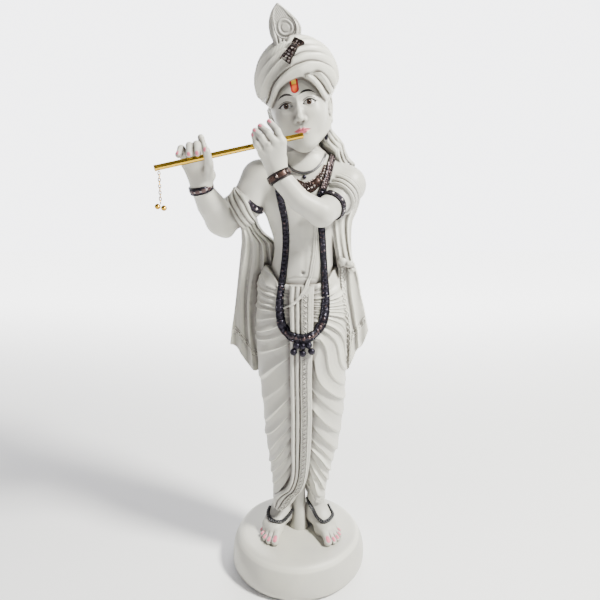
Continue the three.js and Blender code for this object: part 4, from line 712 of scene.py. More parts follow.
def foot(ankle, ball_place, toes):
    ax, ay = ankle
    bx, by = ball_place
    digits = []
    for x, y, r in toes:
        dx, dy = toe_line(ankle, (x, y))
        back = 22 + r
        digits.append(chain(
            [(x + dx * r * 0.6, y + dy * r * 0.6, r * 0.85),
             (x + dx * back * 0.33, y + dy * back * 0.33, r + 1.6),
             (x + dx * back * 0.6, y + dy * back * 0.6, r + 4.4),
             (x + dx * back * 1.3, y + dy * back * 1.3, r + 5)],
            [r * 0.93, r * 0.76, r * 0.84, r],
        ))
    side = 1 if bx > 0 else -1
    sole = blend(
        14,
        limb((ax, ay, 70), (ax, ay - 2, 28), 18, 19),
        limb((ax + side * 16, ay - 7, 33), (ax + side * 32, ay - 25, 18), 14, 11),
        ball((ax - (bx - ax) * 0.15, ay + 14, 14), (18, 20, 16)),
        limb((ax, ay - 6, 27), (bx, by, 13), 18, 13),
        limb((bx - (by - ay) * 0.18, by + 2, 11), (bx + (by - ay) * 0.3, by + 8, 8), 10, 8),
    )
    ankles = [ball((ax + side * 17, ay + 4, 36), (6, 7, 8)), ball((ax - side * 15, ay - 2, 40), (6, 7, 8))]
    toe_form = blend(0.7, *digits)
    nails = [toe_nail(ankle, toe) for toe in toes]

    def form(x, y, z):
        d = sole(x, y, z)
        for part in ankles:
            d = joined(7, d, part(x, y, z))
        d = joined(3, d, toe_form(x, y, z))
        for nail in nails:
            d = d + 0.5 * ridge(nail(x, y, z), 1.2)
        return np.maximum(d, -2 - z)

    return form


def toe_nail(ankle, toe):
    x, y, r = toe
    dx, dy = toe_line(ankle, (x, y))
    root, edge = (x + dx * r * 0.85, y + dy * r * 0.85,
                  r * 1.62), (x + dx * r * 0.1, y + dy * r * 0.1, r * 1.5)
    return limb(root, edge, r * 0.42, r * 0.5)


support = blend(6, limb((3, 10, 110), (3, 6, 50), 13, 12), limb((3, 6, 50), (3, 4, 0), 12, 20))


# Shawl: a sleeve of folds round each upper arm, hanging ends at both sides, and a swag across the back
LEFT_WRAP_LOW = 596
LEFT_WRAP = along([
    [LEFT_WRAP_LOW, -101, -58], [620, -101, -66], [636, -106, -74], [655, -115, -82], [667, -122, -86],
    [676, -124, -91], [684, -122, -97], [692, -118, -106], [700, -116, -114],
])


def left_wrap(x, y, z):
    """The shawl over the crook of the far arm: folds that run down and inward."""
    left, right = LEFT_WRAP(clamp(z, LEFT_WRAP_LOW, 700))
    across = (x - left) / np.maximum(right - left, 2)
    phase = 3.3 * clamp(across, 0, 1) ** 0.9 + 0.16 * np.sin(z / 11) + 0.02 * (z - 640)
    wave = np.abs(np.sin(math.pi * phase)) ** 0.8
    side = np.maximum(np.maximum(left - x, x - right), np.maximum(LEFT_WRAP_LOW - z, z - 698))
    return rounded(side * 0.8, far_arm(x, y, z) - 3 - 3.6 * wave, 2.5)


def right_wrap(x, y, z):
    """The shawl round the near arm above its armlet: folds that follow the arm."""
    dx, dy, dz = 0.42, 0.71, 0.565
    s = (x - UPPER_ARMS[1][0]) * dx + (y - UPPER_ARMS[1][1]) * dy + (z - UPPER_ARMS[1][2]) * dz
    s = s + 5 * smoothstep(690, 640, z) - 4 * smoothstep(96, 60, x)
    phase = (clamp(s, 8, 44) - 8) / 36
    wave = np.abs(np.sin(math.pi * 3.6 * phase ** 0.85)) ** 0.7
    side = np.maximum(9 - s, s - 42)
    return rounded(side, near_arm(x, y, z) - 2.5 - 4.2 * wave * smoothstep(1.0, 0.6, phase), 3)


def hanging(edges, hem, front_hem, thickness, count, depth, border, edge_border):
    """A hanging end of the shawl, from its edges at each height: that many folds, and embroidered borders."""
    path = along(edges)
    low, high = edges[0][0], edges[-1][0]

    def form(x, y, z):
        h = clamp(z, low, high)
        left, right, left_depth, right_depth = path(h)
        across = clamp((x - left) / (right - left), -0.2, 1.2)
        middle = left_depth + (right_depth - left_depth) * across
        phase = 2 * math.pi * count * (across + 0.05 * np.sin(h / 37 + 4 * across)) + 0.012 * (h - low)
        strong = 0.62 + 0.38 * np.sin(0.5 * phase + h / 60 + 1)
        crests = 2 * np.abs(np.sin(0.5 * phase)) ** 1.3 - 0.9 + 0.14 * np.sin(2 * phase + 0.7)
        wave = depth * strong * crests
        rise = z - hem(x)
        front = front_hem(x)
        work = embroidery(x * 0.9, z - front, border)
        if edge_border:
            work = np.maximum(work, embroidery(z * 0.9, x - left - 1, edge_border) * smoothstep(560, 545, z))
        work = work * smoothstep(6, 0, np.abs(y - middle - wave) - thickness / 2 - 2)
        under = np.where(y < middle + wave, 4.5 * smoothstep(front + 1.2, front - 1.2, z), 0)
        dy = np.abs(y - middle - wave) - thickness / 2 - 2.3 * work + under
        side = np.maximum(np.maximum(left - x, x - right), np.maximum(-rise, z - high))
        return rounded(side, dy * 0.75, 3)

    return form


LEFT_END = [
    [330, -140, -40, 4, 34], [397, -133, -40, 2, 34], [471, -122, -40, 0, 34], [540, -113, -38, -2, 34],
    [590, -106, -38, -10, 30], [600, -104, -46, -14, 26], [612, -102, -61, -22, 14], [626, -103, -71, -34, 0],
    [640, -107, -76, -46, -12], [655, -115, -83, -52, -20],
]
RIGHT_END = [
    [345, 84, 140, -14, 10], [421, 86, 139, -16, 8], [445, 84, 134, -16, 8], [467, 82, 130, -16, 8],
    [498, 78, 122, -14, 8], [531, 75, 117, -12, 8], [548, 75, 112, -12, 8], [562, 73, 106, -12, 10],
    [600, 66, 102, -14, 12], [635, 62, 104, -18, 12], [655, 63, 112, -18, 10], [674, 66, 117, -14, 8],
]
SWAG_TOP = along([
    [-117, 676], [-96, 660], [-84, 646], [-74, 626], [-62, 606], [-48, 597], [-22, 578], [5, 570], [32, 578],
    [60, 602], [90, 650], [117, 684],
])


def left_hem(x):
    return 335 + 62 * smoothstep(-84, -134, x) - 14 * smoothstep(-84, -40, x)


def right_hem(x):
    return 348 + 22 * smoothstep(96, 112, x) + 20 * smoothstep(108, 120, x) + 34 * smoothstep(124, 142, x)


def left_front_hem(x):
    return 367 + 54 * smoothstep(-80, -126, x)


def right_front_hem(x):
    return right_hem(x) + smoothstep(100, 106, x) * (412 + 28 * smoothstep(104, 136, x) - right_hem(x))


def swag(x, y, z):
    across = (x + 5) / 110
    top = SWAG_TOP(clamp(x, -117, 117))[0]
    middle = 44 - 34 * across ** 4
    crest = 4 * fold((top - z) / 30)
    dy = np.abs(y - middle) - 8 - np.where(y > middle, crest, 0)
    side = np.maximum(np.maximum(np.abs(x + 5) - 103, top - 190 - z + 30 * across * across), z - top) * 0.8
    return rounded(side, dy * 0.8, 4)


left_sheet = hanging(LEFT_END, left_hem, left_front_hem, 13, 4.5, 5, 13, 0)
right_sheet = hanging(RIGHT_END, right_hem, right_front_hem, 14, 3, 4, 16, 15)
KNOT_MIDDLE = (92, 554)


def knot(x, y, z):
    """The shawl's gathered knot on the viewer's right, with creases that run out from its middle."""
    lobes = ball((84, -19, 561), (9, 9,
                                  8)), ball((97, -21, 557), (10, 9, 7)), ball((101, -18, 547), (8, 8, 6))
    u, v = x - KNOT_MIDDLE[0], z - KNOT_MIDDLE[1]
    creases = np.abs(np.sin(np.arctan2(v, u) * 4 + 0.25 * u))
    return blend(2, *lobes)(x, y, z) + 0.7 * creases * smoothstep(1, 6, np.hypot(u, v))


shawl = blend(5, left_sheet, right_sheet, swag, left_wrap, right_wrap, knot)

face_form = face()
head_form = framed(HEAD_CENTRE, HEAD_TURN, blend(3, face_form, united([ear(-1), ear(1)])))
turban_form = framed(HEAD_CENTRE, HEAD_TURN, turban())
feather_form = framed((-20, -24, 920), turned(0.06, -0.02, 0), feather)
torso_form = torso()
legs_form = blend(8, leg(0), leg(1))
feet_forms = [foot(*f) for f in FEET]
far_hand = hand(WRISTS[0], FAR_FINGERS, FAR_THUMB, 9)
near_hand = hand(WRISTS[1], NEAR_FINGERS, NEAR_THUMB, 9)
ring_band = chain([(-51, -129.5, 756), (-46.5, -131.5, 759.5), (-42, -129, 763)], [1.4, 1.6, 1.4])
ring_stone = ball((-46, -132.4, 759.5), (3.4, 2.2, 3.4))

# The sacred thread, in low relief from the shoulder to the hip
THREAD = [(32, 648), (31, 622), (30, 607), (28, 577), (25, 559), (22, 541), (19, 531), (15, 521), (9, 511),
          (2, 501), (-7, 492), (-16, 485), (-25, 480)]

# Groups of forms, each with the middle and the radius of a sphere that holds it
DHOTI = [((5, 0, 290), 270, legs_form), ((5, -50, 290), 260, pleats), ((8, -30, 525), 90, waist_cloth)]
body_form = gathered(4, DHOTI + [((6, 0, 650), 200, torso_form)])


# Meshes
def meet(form, start, direction, most=260):
    """Where lines from their starts meet a form, many lines at a time."""
    start, direction = np.array(start, float), np.array(direction, float)
    travelled = np.zeros(len(start))
    nearest = np.full(len(start), 1e9)
    best = np.zeros(len(start))
    for _ in range(420):
        p = (start + direction * travelled[:, None]).astype(f32)
        d = form(p[:, 0].copy(), p[:, 1].copy(), p[:, 2].copy()).astype(float)
        better = d < nearest
        nearest, best = np.where(better, d, nearest), np.where(better, travelled, best)
        moving = (d >= 0.05) & (travelled < most)
        if not moving.any():
            break
        travelled = np.where(moving, travelled + np.maximum(d * 0.6, 0.1), travelled)
    return start + direction * best[:, None]


def slope(form, p, step):
    """Unit vectors away from a form at the points p."""
    p = p.astype(f32)
    g = []
    for k in range(3):
        a, b = p.copy(), p.copy()
        a[:, k] += step
        b[:, k] -= step
        g.append(form(*a.T.copy()) - form(*b.T.copy()))
    g = np.stack(g, 1).astype(float)
    return g / (np.linalg.norm(g, axis=1, keepdims=True) + 1e-12)


def spread(work, items):
    with ThreadPoolExecutor(4) as pool:
        return list(pool.map(work, items))


def lattice(counts):
    """The place of each cell in a box of cells."""
    return np.stack(np.meshgrid(*[np.arange(c) for c in counts], indexing="ij"), -1).reshape(-1, 3)


def sampled(form, low, high, cell):
    """The form's values on a grid, exact near its surface only."""
    coarse, fine = 16, 4
    n = [int(math.ceil((b - a) / cell / coarse)) * coarse for a, b in zip(low, high)]
    value = np.empty(n, f32)

    def middles(index, size):
        return [(low[k] + (index[:, k] * size + (size - 1) / 2) * cell).astype(f32) for k in range(3)]

    shape = [m // coarse for m in n]
    blocks = lattice(shape)
    parts = np.array_split(blocks, max(1, len(blocks) // 20000))
    d = np.concatenate(spread(lambda b: form(*middles(b, coarse)), parts))
    value[:] = np.repeat(np.repeat(np.repeat(d.reshape(shape), coarse, 0), coarse, 1), coarse, 2)
    near = blocks[np.abs(d) < 0.87 * coarse * cell * 1.35 + 7]
    ratio = coarse // fine
    small = (near[:, None, :] * ratio + lattice([ratio] * 3)[None]).reshape(-1, 3)
    parts = np.array_split(small, max(1, len(small) // 40000))
    d = np.concatenate(spread(lambda b: form(*middles(b, fine)), parts))
    small_view = value.reshape([size for m in n for size in (m // fine, fine)]).transpose(0, 2, 4, 1, 3, 5)
    small_view[small[:, 0], small[:, 1], small[:, 2]] = d[:, None, None, None]
    close = small[np.abs(d) < 0.87 * fine * cell * 1.4 + 2.2]
    corner = lattice([fine] * 3)

    def fill(b):
        index = (b[:, None, :] * fine + corner[None]).reshape(-1, 3)
        p = [(low[k] + index[:, k] * cell).astype(f32) for k in range(3)]
        small_view[b[:, 0], b[:, 1], b[:, 2]] = form(*p).reshape(-1, fine, fine, fine)

    spread(fill, np.array_split(close, max(1, len(close) // 1500)))
    return value


def mesh_of(name, points, faces):
    """A mesh from points and from arrays of faces, each array with faces of one size."""
    mesh = bpy.data.meshes.new(name)
    faces = [np.asarray(f) for f in faces if len(f)]
    total = sum(len(f) for f in faces)
    loops = np.concatenate([f.reshape(-1) for f in faces]).astype(np.int32)
    counts = np.concatenate([np.full(len(f), f.shape[1]) for f in faces]).astype(np.int32)
    mesh.vertices.add(len(points))
    mesh.vertices.foreach_set("co", np.asarray(points, f32).reshape(-1))
    mesh.loops.add(len(loops))
    mesh.loops.foreach_set("vertex_index", loops)
    mesh.polygons.add(total)
    mesh.polygons.foreach_set("loop_start", np.concatenate([[0], np.cumsum(counts)[:-1]]).astype(np.int32))
    mesh.polygons.foreach_set("loop_total", counts)
    mesh.update(calc_edges=True)
    mesh.validate()
    return mesh


def reduced(mesh, most, keep=()):
    """The mesh with edges joined down to that many triangles, and fewest at the points to keep."""
    triangles = sum(len(p.vertices) - 2 for p in mesh.polygons)
    if triangles <= most:
        return mesh
    o = bpy.data.objects.new("reducing", mesh)
    bpy.context.scene.collection.objects.link(o)
    m = o.modifiers.new("reduce", "DECIMATE")
    m.ratio = most / triangles
    m.use_collapse_triangulate = True
    if len(keep):
        group = o.vertex_groups.new(name="keep")
        group.add(list(range(len(mesh.vertices))), 1.0, "REPLACE")
        group.add(keep.tolist(), 0.2, "REPLACE")
        m.vertex_group = "keep"
        m.vertex_group_factor = 1.0
    done = bpy.data.meshes.new_from_object(o.evaluated_get(bpy.context.evaluated_depsgraph_get()))
    bpy.data.objects.remove(o)
    return done


def read_points(mesh):
    co = np.zeros(len(mesh.vertices) * 3, f32)
    mesh.vertices.foreach_get("co", co)
    return co.reshape(-1, 3)


def in_metres(p):
    p = np.asarray(p, float) * UNIT
    p[..., 2] += PLINTH_HEIGHT
    return p


def add_object(name, mesh, look, node):
    """An object of the figure that takes a solid's place, with a look: a slot, which is not used, and its
    material.
    """
    slot, material = look
    o = bpy.data.objects.new(name, mesh)
    bpy.context.scene.collection.objects.link(o)
    mesh.materials.append(material)
    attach(o, "root")
    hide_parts(node)


def give(mesh, name, values):
    mesh.attributes.new(name, "FLOAT", "POINT").data.foreach_set("value", np.asarray(values, f32))


def shade_smooth(mesh, smooth=True):
    mesh.polygons.foreach_set("use_smooth", np.full(len(mesh.polygons), smooth))


def grid_faces(rows, columns, closed=False):
    """Faces between rows of points, where each row is a ring."""
    i, k = np.meshgrid(np.arange(rows if closed else rows - 1), np.arange(columns), indexing="ij")
    j, l = (i + 1) % rows, (k + 1) % columns
    return np.stack([i * columns + k, i * columns + l, j * columns + l, j * columns + k], -1).reshape(-1, 4)


def turned_faces(rings, sides):
    """Faces of a turned body, from its rings of points and then the middles of its two ends."""
    j = np.arange(sides)
    k = (j + 1) % sides
    first = np.stack([np.full(sides, rings * sides), k, j], 1)
    last = np.stack([np.full(sides, rings * sides + 1), (rings - 1) * sides + j, (rings - 1) * sides + k], 1)
    return [grid_faces(rings, sides), first, last]


def carved(name, form, low, high, cell, most, paint=None):
    """A smooth mesh of a form in a box, with its slopes as normals, its hollows, by which the materials paint
    shade and highlights, and its painted places.
    """

    def clipped(x, y, z):
        d = form(x, y, z)
        return np.maximum(d, np.maximum(low[2] - z, z - high[2]))

    floor = [low[0], low[1], low[2] - 2 * cell]
    value = sampled(clipped, floor, [high[0], high[1], high[2] + 2 * cell], cell)
    grid = openvdb.FloatGrid(float(value.max()))
    grid.copyFromArray(value, tolerance=0.0)
    points, triangles, quads = grid.convertToPolygons(isovalue=0.0, adaptivity=0.0 if paint else 0.12)
    points = points * cell + np.array(floor, f32)
    mesh = mesh_of(name, points, [triangles, quads])
    keep = ()
    if paint:
        places = paint(points.astype(f32))
        keep = np.nonzero(np.max([v for k, v in places.items() if "weave" not in k], axis=0) > -1.6)[0]
    mesh = reduced(mesh, most, keep)
    mesh.name = name
    p = read_points(mesh)

    def shade(q):
        n = slope(form, q, 0.45)
        d = form(*q.T.copy()).astype(float)
        near_cap = (q[:, 2] < low[2] + 0.6) | (q[:, 2] > high[2] - 0.6)
        moved = q - n * np.where(near_cap, 0, clamp(d, -0.5, 0.5) * 0.8)[:, None]
        hollow = 1 - form(*(moved + n * 3).astype(f32).T.copy()) / 3
        wide = 1 - form(*(moved + n * 9).astype(f32).T.copy()) / 9
        return moved, n, clamp(hollow, -1, 1), clamp(wide, -1, 1)

    parts = spread(shade, np.array_split(p, max(1, len(p) // 20000)))
    moved, normal, hollow, wide = (np.concatenate([part[k] for part in parts]) for k in range(4))
    give(mesh, "hollow", hollow)
    give(mesh, "wide_hollow", wide)
    if paint:
        for key, values in paint(moved.astype(f32)).items():
            give(mesh, key, values)
    mesh.vertices.foreach_set("co", in_metres(moved).astype(f32).reshape(-1))
    shade_smooth(mesh)
    mesh.update()
    mesh.normals_split_custom_set_from_vertices(normal)
    return mesh


# Painted places, as depths inside each painted shape, and how far outside a place counts as off it
PAINT_OFF = -3.0


def painted(p):
    x, y, z = (p[:, k].copy() for k in range(3))
    hx, hy, hz = in_frame(HEAD_CENTRE, HEAD_TURN, x, y, z)
    on_face = (np.abs(face_form(hx, hy, hz)) < 2.2) & (hy < -22)
    off = PAINT_OFF

    def only(depth):
        return np.where(on_face, clamp(depth, off, 3), off)

    ax = np.abs(hx)
    across = ax - EYE_SPACING
    upper, lower = UPPER_LID(across)[0], LOWER_LID(across)[0]
    brow_line = BROW(ax)[0]
    brow_half = 1.7 * smoothstep(3.5, 12, ax) * smoothstep(35, 22, ax) + 0.3
    brow = np.where((ax > 4.5) & (ax < 34), brow_half - np.abs(hz - brow_line), off)
    lash_half = 0.5 + 0.85 * smoothstep(-12, 2, across) * smoothstep(16, 9, across)
    lash = np.where((across > -EYE_HALF) & (across < 15), lash_half - np.abs(hz - upper - 0.5), off)
    crease = np.where(np.abs(across) < 11, 0.5 - np.abs(hz - upper - 3.6), off)
    under = np.where((across > -7) & (across < EYE_HALF), 0.3 - np.abs(hz - lower + 0.1), off)
    lip_middle = np.where(ax < 14, 0.35 - np.abs(hz - LIP_LINE(hx)[0]), off)
    dots = np.full_like(hx, off)
    for cx, cz in ((-4.4, 14.6), (-1.6, 12.8), (1.4, 12.6), (4.2, 14.2)):
        dots = np.maximum(dots, 0.75 - np.hypot(hx - cx, hz - cz))
    opening = np.minimum(np.minimum(upper - hz, hz - lower), EYE_HALF - np.abs(across))
    from_pupil = np.hypot(ax - EYE_SPACING, hz - 0.5)
    iris, pupil = (np.minimum(radius - from_pupil, opening) for radius in (4.7, 2.1))
    glint = 0.75 - np.hypot(hx - np.sign(hx) * EYE_SPACING - 1.4, hz - 2.1)
    lips = np.where(ax < 14.5, np.minimum(LIP_TOP(hx)[0] - hz, hz - LIP_BOTTOM(hx)[0]), off)
    mark_outer = 7.2 - np.hypot(hx, np.minimum(hz - 24, 0))
    mark_inner = 4.1 - np.hypot(hx, np.minimum(hz - 23.5, 0))
    nails = [limb(*nail, 2.5, 2.5) for nail in NEAR_NAILS] + [limb(*nail, 2.7, 2.7) for nail in FAR_NAILS]
    weave = smoothstep(2.5, 1, np.abs(turban_form(x, y, z))) * smoothstep(4, -10, hx)
    ink = np.maximum.reduce([brow, lash, crease, under, dots])
    return {
        "ink": only(ink),
        "eye": only(opening),
        "iris": only(iris),
        "pupil": only(pupil),
        "glint": only(glint),
        "lips": only(lips),
        "lip_line": only(lip_middle),
        "mark": only(mark_outer),
        "mark_core": only(mark_inner),
        "mark_height": only((hz - 32.5) * 0.5),
        "nail": clamp(-united(nails)(x, y, z), off, 3),
        "weave_run": hx,
        "weave": weave * smoothstep(-60, -42, hx) * smoothstep(22, 40, hz),
    }


def painted_feet(p):
    x, y, z = (p[:, k].copy() for k in range(3))
    depth = np.full(len(p), PAINT_OFF, f32)
    for ankle, _, toes in FEET:
        for toe in toes:
            depth = np.maximum(depth, clamp(-toe_nail(ankle, toe)(x, y, z), PAINT_OFF, 3))
    return {"nail": depth}


# Materials
def nodes_of(name):
    m = bpy.data.materials.new(name)
    m.use_nodes = True
    t = m.node_tree
    t.nodes.clear()
    out = t.nodes.new("ShaderNodeOutputMaterial")
    shader = t.nodes.new("ShaderNodeBsdfPrincipled")
    t.links.new(shader.outputs[0], out.inputs[0])
    return m, t, shader


class Graph:
    """Short words for building a node tree."""

    def __init__(self, tree):
        self.t = tree

    def put(self, socket, value):
        if isinstance(value, bpy.types.NodeSocket):
            self.t.links.new(value, socket)
        else:
            socket.default_value = value

    def coords(self):
        return self.t.nodes.new("ShaderNodeTexCoord").outputs["Object"]

    def noise(self, scale, detail=3, rough=0.55, at=None, distort=0.0):
        n = self.t.nodes.new("ShaderNodeTexNoise")
        self.put(n.inputs["Vector"], at or self.coords())
        n.inputs["Scale"].default_value = scale
        n.inputs["Detail"].default_value = detail
        n.inputs["Roughness"].default_value = rough
        n.inputs["Distortion"].default_value = distort
        return n.outputs[0]

    def attribute(self, name):
        n = self.t.nodes.new("ShaderNodeAttribute")
        n.attribute_name = name
        return n.outputs["Fac"]

    def band(self, value, lo, hi, to_lo=0.0, to_hi=1.0):
        n = self.t.nodes.new("ShaderNodeMapRange")
        n.interpolation_type = "SMOOTHSTEP"
        self.put(n.inputs["Value"], value)
        for key, v in (("From Min", lo), ("From Max", hi), ("To Min", to_lo), ("To Max", to_hi)):
            n.inputs[key].default_value = v
        return n.outputs[0]

    def math(self, kind, a, b=0.0):
        n = self.t.nodes.new("ShaderNodeMath")
        n.operation = kind
        self.put(n.inputs[0], a)
        self.put(n.inputs[1], b)
        return n.outputs[0]

    def times(self, a, b):
        return self.math("MULTIPLY", a, b)

    def mix(self, share, a, b):
        n = self.t.nodes.new("ShaderNodeMix")
        n.data_type = "RGBA"
        self.put(n.inputs[0], share)
        for socket, colour in ((n.inputs[6], a), (n.inputs[7], b)):
            self.put(socket, colour if isinstance(colour, bpy.types.NodeSocket) else (*colour, 1))
        return n.outputs[2]

    def bump(self, height, strength, distance, normal=None):
        n = self.t.nodes.new("ShaderNodeBump")
        self.put(n.inputs["Height"], height)
        n.inputs["Strength"].default_value = strength
        n.inputs["Distance"].default_value = distance
        if normal:
            self.put(n.inputs["Normal"], normal)
        return n.outputs[0]


def cast_material(painted_parts):
    """White cast stone with painted shade in its hollows and painted highlights on its crests, and the paint
    of the face and the nails.
    """
    m, t, shader = nodes_of("white_cast_painted" if painted_parts else "white_cast")
    g = Graph(t)
    cloud = g.noise(9, 4, 0.6)
    patch = g.noise(38, 5, 0.65, distort=0.4)
    speck = g.noise(900, 2, 0.5)
    colour = g.mix(g.band(cloud, 0.35, 0.7), (0.55, 0.54, 0.47), (0.48, 0.47, 0.43))
    colour = g.mix(g.times(g.band(patch, 0.55, 0.8), 0.35), colour, (0.47, 0.45, 0.375))
    hollow = g.attribute("hollow")
    wide = g.attribute("wide_hollow")
    # Painted shade: the hollows darkened, patchily by noise, and the broad hollows darkened more gently.
    crevice_shade = g.times(g.band(hollow, 0.06, 0.6), g.band(patch, 0.25, 0.7, 0.45, 0.9))
    colour = g.mix(g.times(g.band(wide, 0.0, 0.7), 0.75), colour, (0.27, 0.255, 0.245))
    colour = g.mix(crevice_shade, colour, (0.17, 0.155, 0.135))
    # Painted highlight: the crests lightened.
    crest = g.math("MAXIMUM", g.band(hollow, -0.04, -0.4), g.times(g.band(wide, -0.1, -0.7), 0.6))
    colour = g.mix(g.times(crest, 0.6), colour, (0.76, 0.75, 0.66))
    rough = g.band(cloud, 0.3, 0.75, 0.38, 0.52)
    if painted_parts:
        def on(name, soft=0.3):
            return g.band(g.attribute(name), 0.02, soft)

        colour = g.mix(g.times(on("eye"), 0.9), colour, (0.82, 0.81, 0.79))
        colour = g.mix(on("iris"), colour, (0.055, 0.03, 0.018))
        colour = g.mix(on("pupil"), colour, (0.006, 0.005, 0.005))
        lip = g.mix(g.band(patch, 0.3, 0.7), (0.62, 0.13, 0.19), (0.54, 0.10, 0.15))
        colour = g.mix(g.times(on("lips", 0.8), 0.92), colour, lip)
        colour = g.mix(g.times(on("lip_line", 0.35), 0.8), colour, (0.28, 0.04, 0.06))
        colour = g.mix(on("mark", 0.5), colour, (0.42, 0.015, 0.02))
        core = g.mix(g.band(g.attribute("mark_height"), -0.6, 0.6), (0.82, 0.13, 0.02), (0.9, 0.62, 0.05))
        colour = g.mix(on("mark_core", 0.5), colour, core)
        colour = g.mix(on("ink", 0.3), colour, (0.012, 0.01, 0.01))
        colour = g.mix(on("glint"), colour, (0.9, 0.9, 0.9))
        rough = g.math("ADD", rough, g.times(on("eye"), -0.25))
    nail = g.times(g.band(g.attribute("nail"), 0.02, 0.4), 0.85)
    colour = g.mix(nail, colour, (0.76, 0.13, 0.23))
    g.put(shader.inputs["Base Color"], colour)
    g.put(shader.inputs["Roughness"], rough)
    shader.inputs["Specular IOR Level"].default_value = 0.45
    shader.inputs["Subsurface Weight"].default_value = 0.04
    shader.inputs["Subsurface Radius"].default_value = (0.004, 0.0035, 0.003)
    shader.inputs["Subsurface Scale"].default_value = 1.0
    normal = g.bump(speck, 0.12, 0.0004)
    normal = g.bump(patch, 0.16, 0.0012, normal)
    if painted_parts:
        lines = g.math("SINE", g.times(g.attribute("weave_run"), 2.5))
        normal = g.bump(g.times(lines, g.attribute("weave")), 0.6, 0.0003, normal)
    g.put(shader.inputs["Normal"], normal)
    return m


white_painted, white_plain = (("white_cast", cast_material(painted_parts)) for painted_parts in (True, False))


# Straps, which are rows of points on a form with the directions away from it
def front_strap(form, pairs, start_y):
    """A strap laid on from the front through [x, z] pairs, stretched over what lies beneath."""
    p = meet(form, [(x, start_y, z) for x, z in pairs], [(0, 1, 0)] * len(pairs))
    for _ in range(12):
        for i in range(1, len(p) - 1):
            p[i, 1] = min(p[i, 1], (p[i - 1, 1] + p[i + 1, 1]) / 2 + 0.4)
    out = slope(form, p, 1.5)
    for _ in range(4):
        wide = np.pad(out, ((1, 1), (0, 0)), mode="edge")
        out = unit(2 * out + wide[:-2] + wide[2:])
    return p, out


def dense(pairs, count):
    """Places on a smooth curve through [x, z] pairs."""
    curve = along([[i, x, z] for i, (x, z) in enumerate(pairs)])(np.linspace(0, len(pairs) - 1, count))
    return list(zip(*(v.astype(float) for v in curve)))


thread_points, thread_out = front_strap(body_form, dense(THREAD, 60), -130)
thread_points += 0.7 * thread_out
thread = blend(
    0.8,
    chain([tuple(p) for p in thread_points], [1.9] * len(thread_points)),
    chain([tuple(p + (3.6, 0.2, 0.8)) for p in thread_points], [1.6] * len(thread_points)),
)
figure = gathered(2, [
    ((3, 0, 860), 120, head_form),
    ((0, 0, 885), 100, turban_form),
    ((-18, -22, 955), 66, feather_form),
    ((30, 40, 760), 130, hair()),
    ((6, 0, 650), 200, blend(6, torso_form, arms_form)),
    ((-156, -125, 735), 62, far_hand),
    ((-45, -115, 752), 70, near_hand),
    *DHOTI,
    ((-50, -25, 35), 90, feet_forms[0]),
    ((60, -25, 35), 90, feet_forms[1]),
    ((4, -10, 50), 85, support),
    ((0, 0, 520), 230, shawl),
    ((3, -50, 562), 96, thread),
    ((-46, -131, 759), 12, blend(0.8, ring_band, ring_stone)),
])
FOOT_DEPTH = -6  # how far the cast runs into the plinth


def cast(x, y, z):
    return np.maximum(figure(x, y, z), FOOT_DEPTH - z)


LOW, HIGH = (-206, -166), (176, 112)
SLABS = [  # name, lowest and highest z, painted
    ("figure_head", 738, 1010, painted),
    ("figure_chest", 598, 740, None),
    ("figure_hips", 430, 600, None),
    ("figure_thighs", 232, 432, None),
    ("figure_feet", FOOT_DEPTH, 234, painted_feet),
]
CELL = 0.8
MOST = 162000
for name, low, high, paint in SLABS:
    mesh = carved(name, cast, (*LOW, low), (*HIGH, high), CELL, MOST, paint)
    add_object(name, mesh, white_painted if paint is painted else white_plain, "figure")


# Plinth: a turned block with soft dents, cast in one with the figure
def plinth():
    profile = [
        (0.0, 0.0), (0.098, 0.0), (0.1075, 0.0008), (0.1135, 0.004), (0.1168, 0.0095), (0.1179, 0.016),
        (0.1176, 0.024), (0.1158, 0.034), (0.1128, 0.0425), (0.1092, 0.0495), (0.1058, 0.0543),
        (0.1015, 0.0575), (0.0965, 0.0588), *[(r, PLINTH_HEIGHT) for r in (0.09, 0.07, 0.045, 0.02, 0.0)],
    ]
    curve = along([[i, r, h] for i, (r, h) in enumerate(profile)])
    rings, turns = 72, 216
    s = np.linspace(0, len(profile) - 1, rings)[1:-1]
    r, h = curve(s)
    angle = np.arange(turns) / turns * 2 * math.pi
    radius = r[:, None] * np.ones(turns)
    height = h[:, None] * np.ones(turns)
    side = smoothstep(0.004, 0.02, h)[:, None]
    swell = 0.0007 * np.sin(3 * angle + 0.7) + 0.0005 * np.sin(5 * angle + 2.1) + 0.0003 * np.sin(11 * angle)
    radius = radius + (swell[None] - 0.0006) * side * smoothstep(0.0, 0.06, r)[:, None]
    points = np.stack([radius * np.cos(angle), radius * np.sin(angle), height], -1).reshape(-1, 3)
    points = np.concatenate([points, [[0, 0, 0], [0, 0, PLINTH_HEIGHT]]])
    mesh = mesh_of("figure_plinth", points, turned_faces(len(s), turns))
    # Painted light for the cast material: a painted highlight along the rim between top and side, and painted
    # shade darkening the block towards its foot.
    edge = np.exp(-(((points[:, 2] - 0.053) / 0.004) ** 2)) * (np.hypot(points[:, 0], points[:, 1]) > 0.08)
    give(mesh, "hollow", -0.5 * edge)
    give(mesh, "wide_hollow", 0.55 * smoothstep(0.012, 0.0, points[:, 2]))
    shade_smooth(mesh)
    return mesh


add_object("figure_plinth", plinth(), white_plain, "figure")


# Jewellery, as bands along straps and as turned pieces
def ring_strap(form, centre, axis, steps=26, reach=40):
    """A closed strap round a limb's axis."""
    w = unit(axis)
    first = np.array([0, -1.0, 0])
    first = unit(first - w * (w @ first))
    angle = np.arange(steps) / steps * 2 * math.pi - math.pi
    out = np.cos(angle)[:, None] * first + np.sin(angle)[:, None] * np.cross(w, first)
    return meet(form, np.array(centre, float) + out * reach, -out), out


def laid_strap(form, points):
    """A strap through points that are moved onto the form."""
    p = np.array(points, float)
    for _ in range(6):
        p -= slope(form, p, 1.5) * form(*p.astype(f32).T.copy())[:, None]
    return p, slope(form, p, 1.5)


SINK = 1.4  # how far a band's underside lies within the form below it


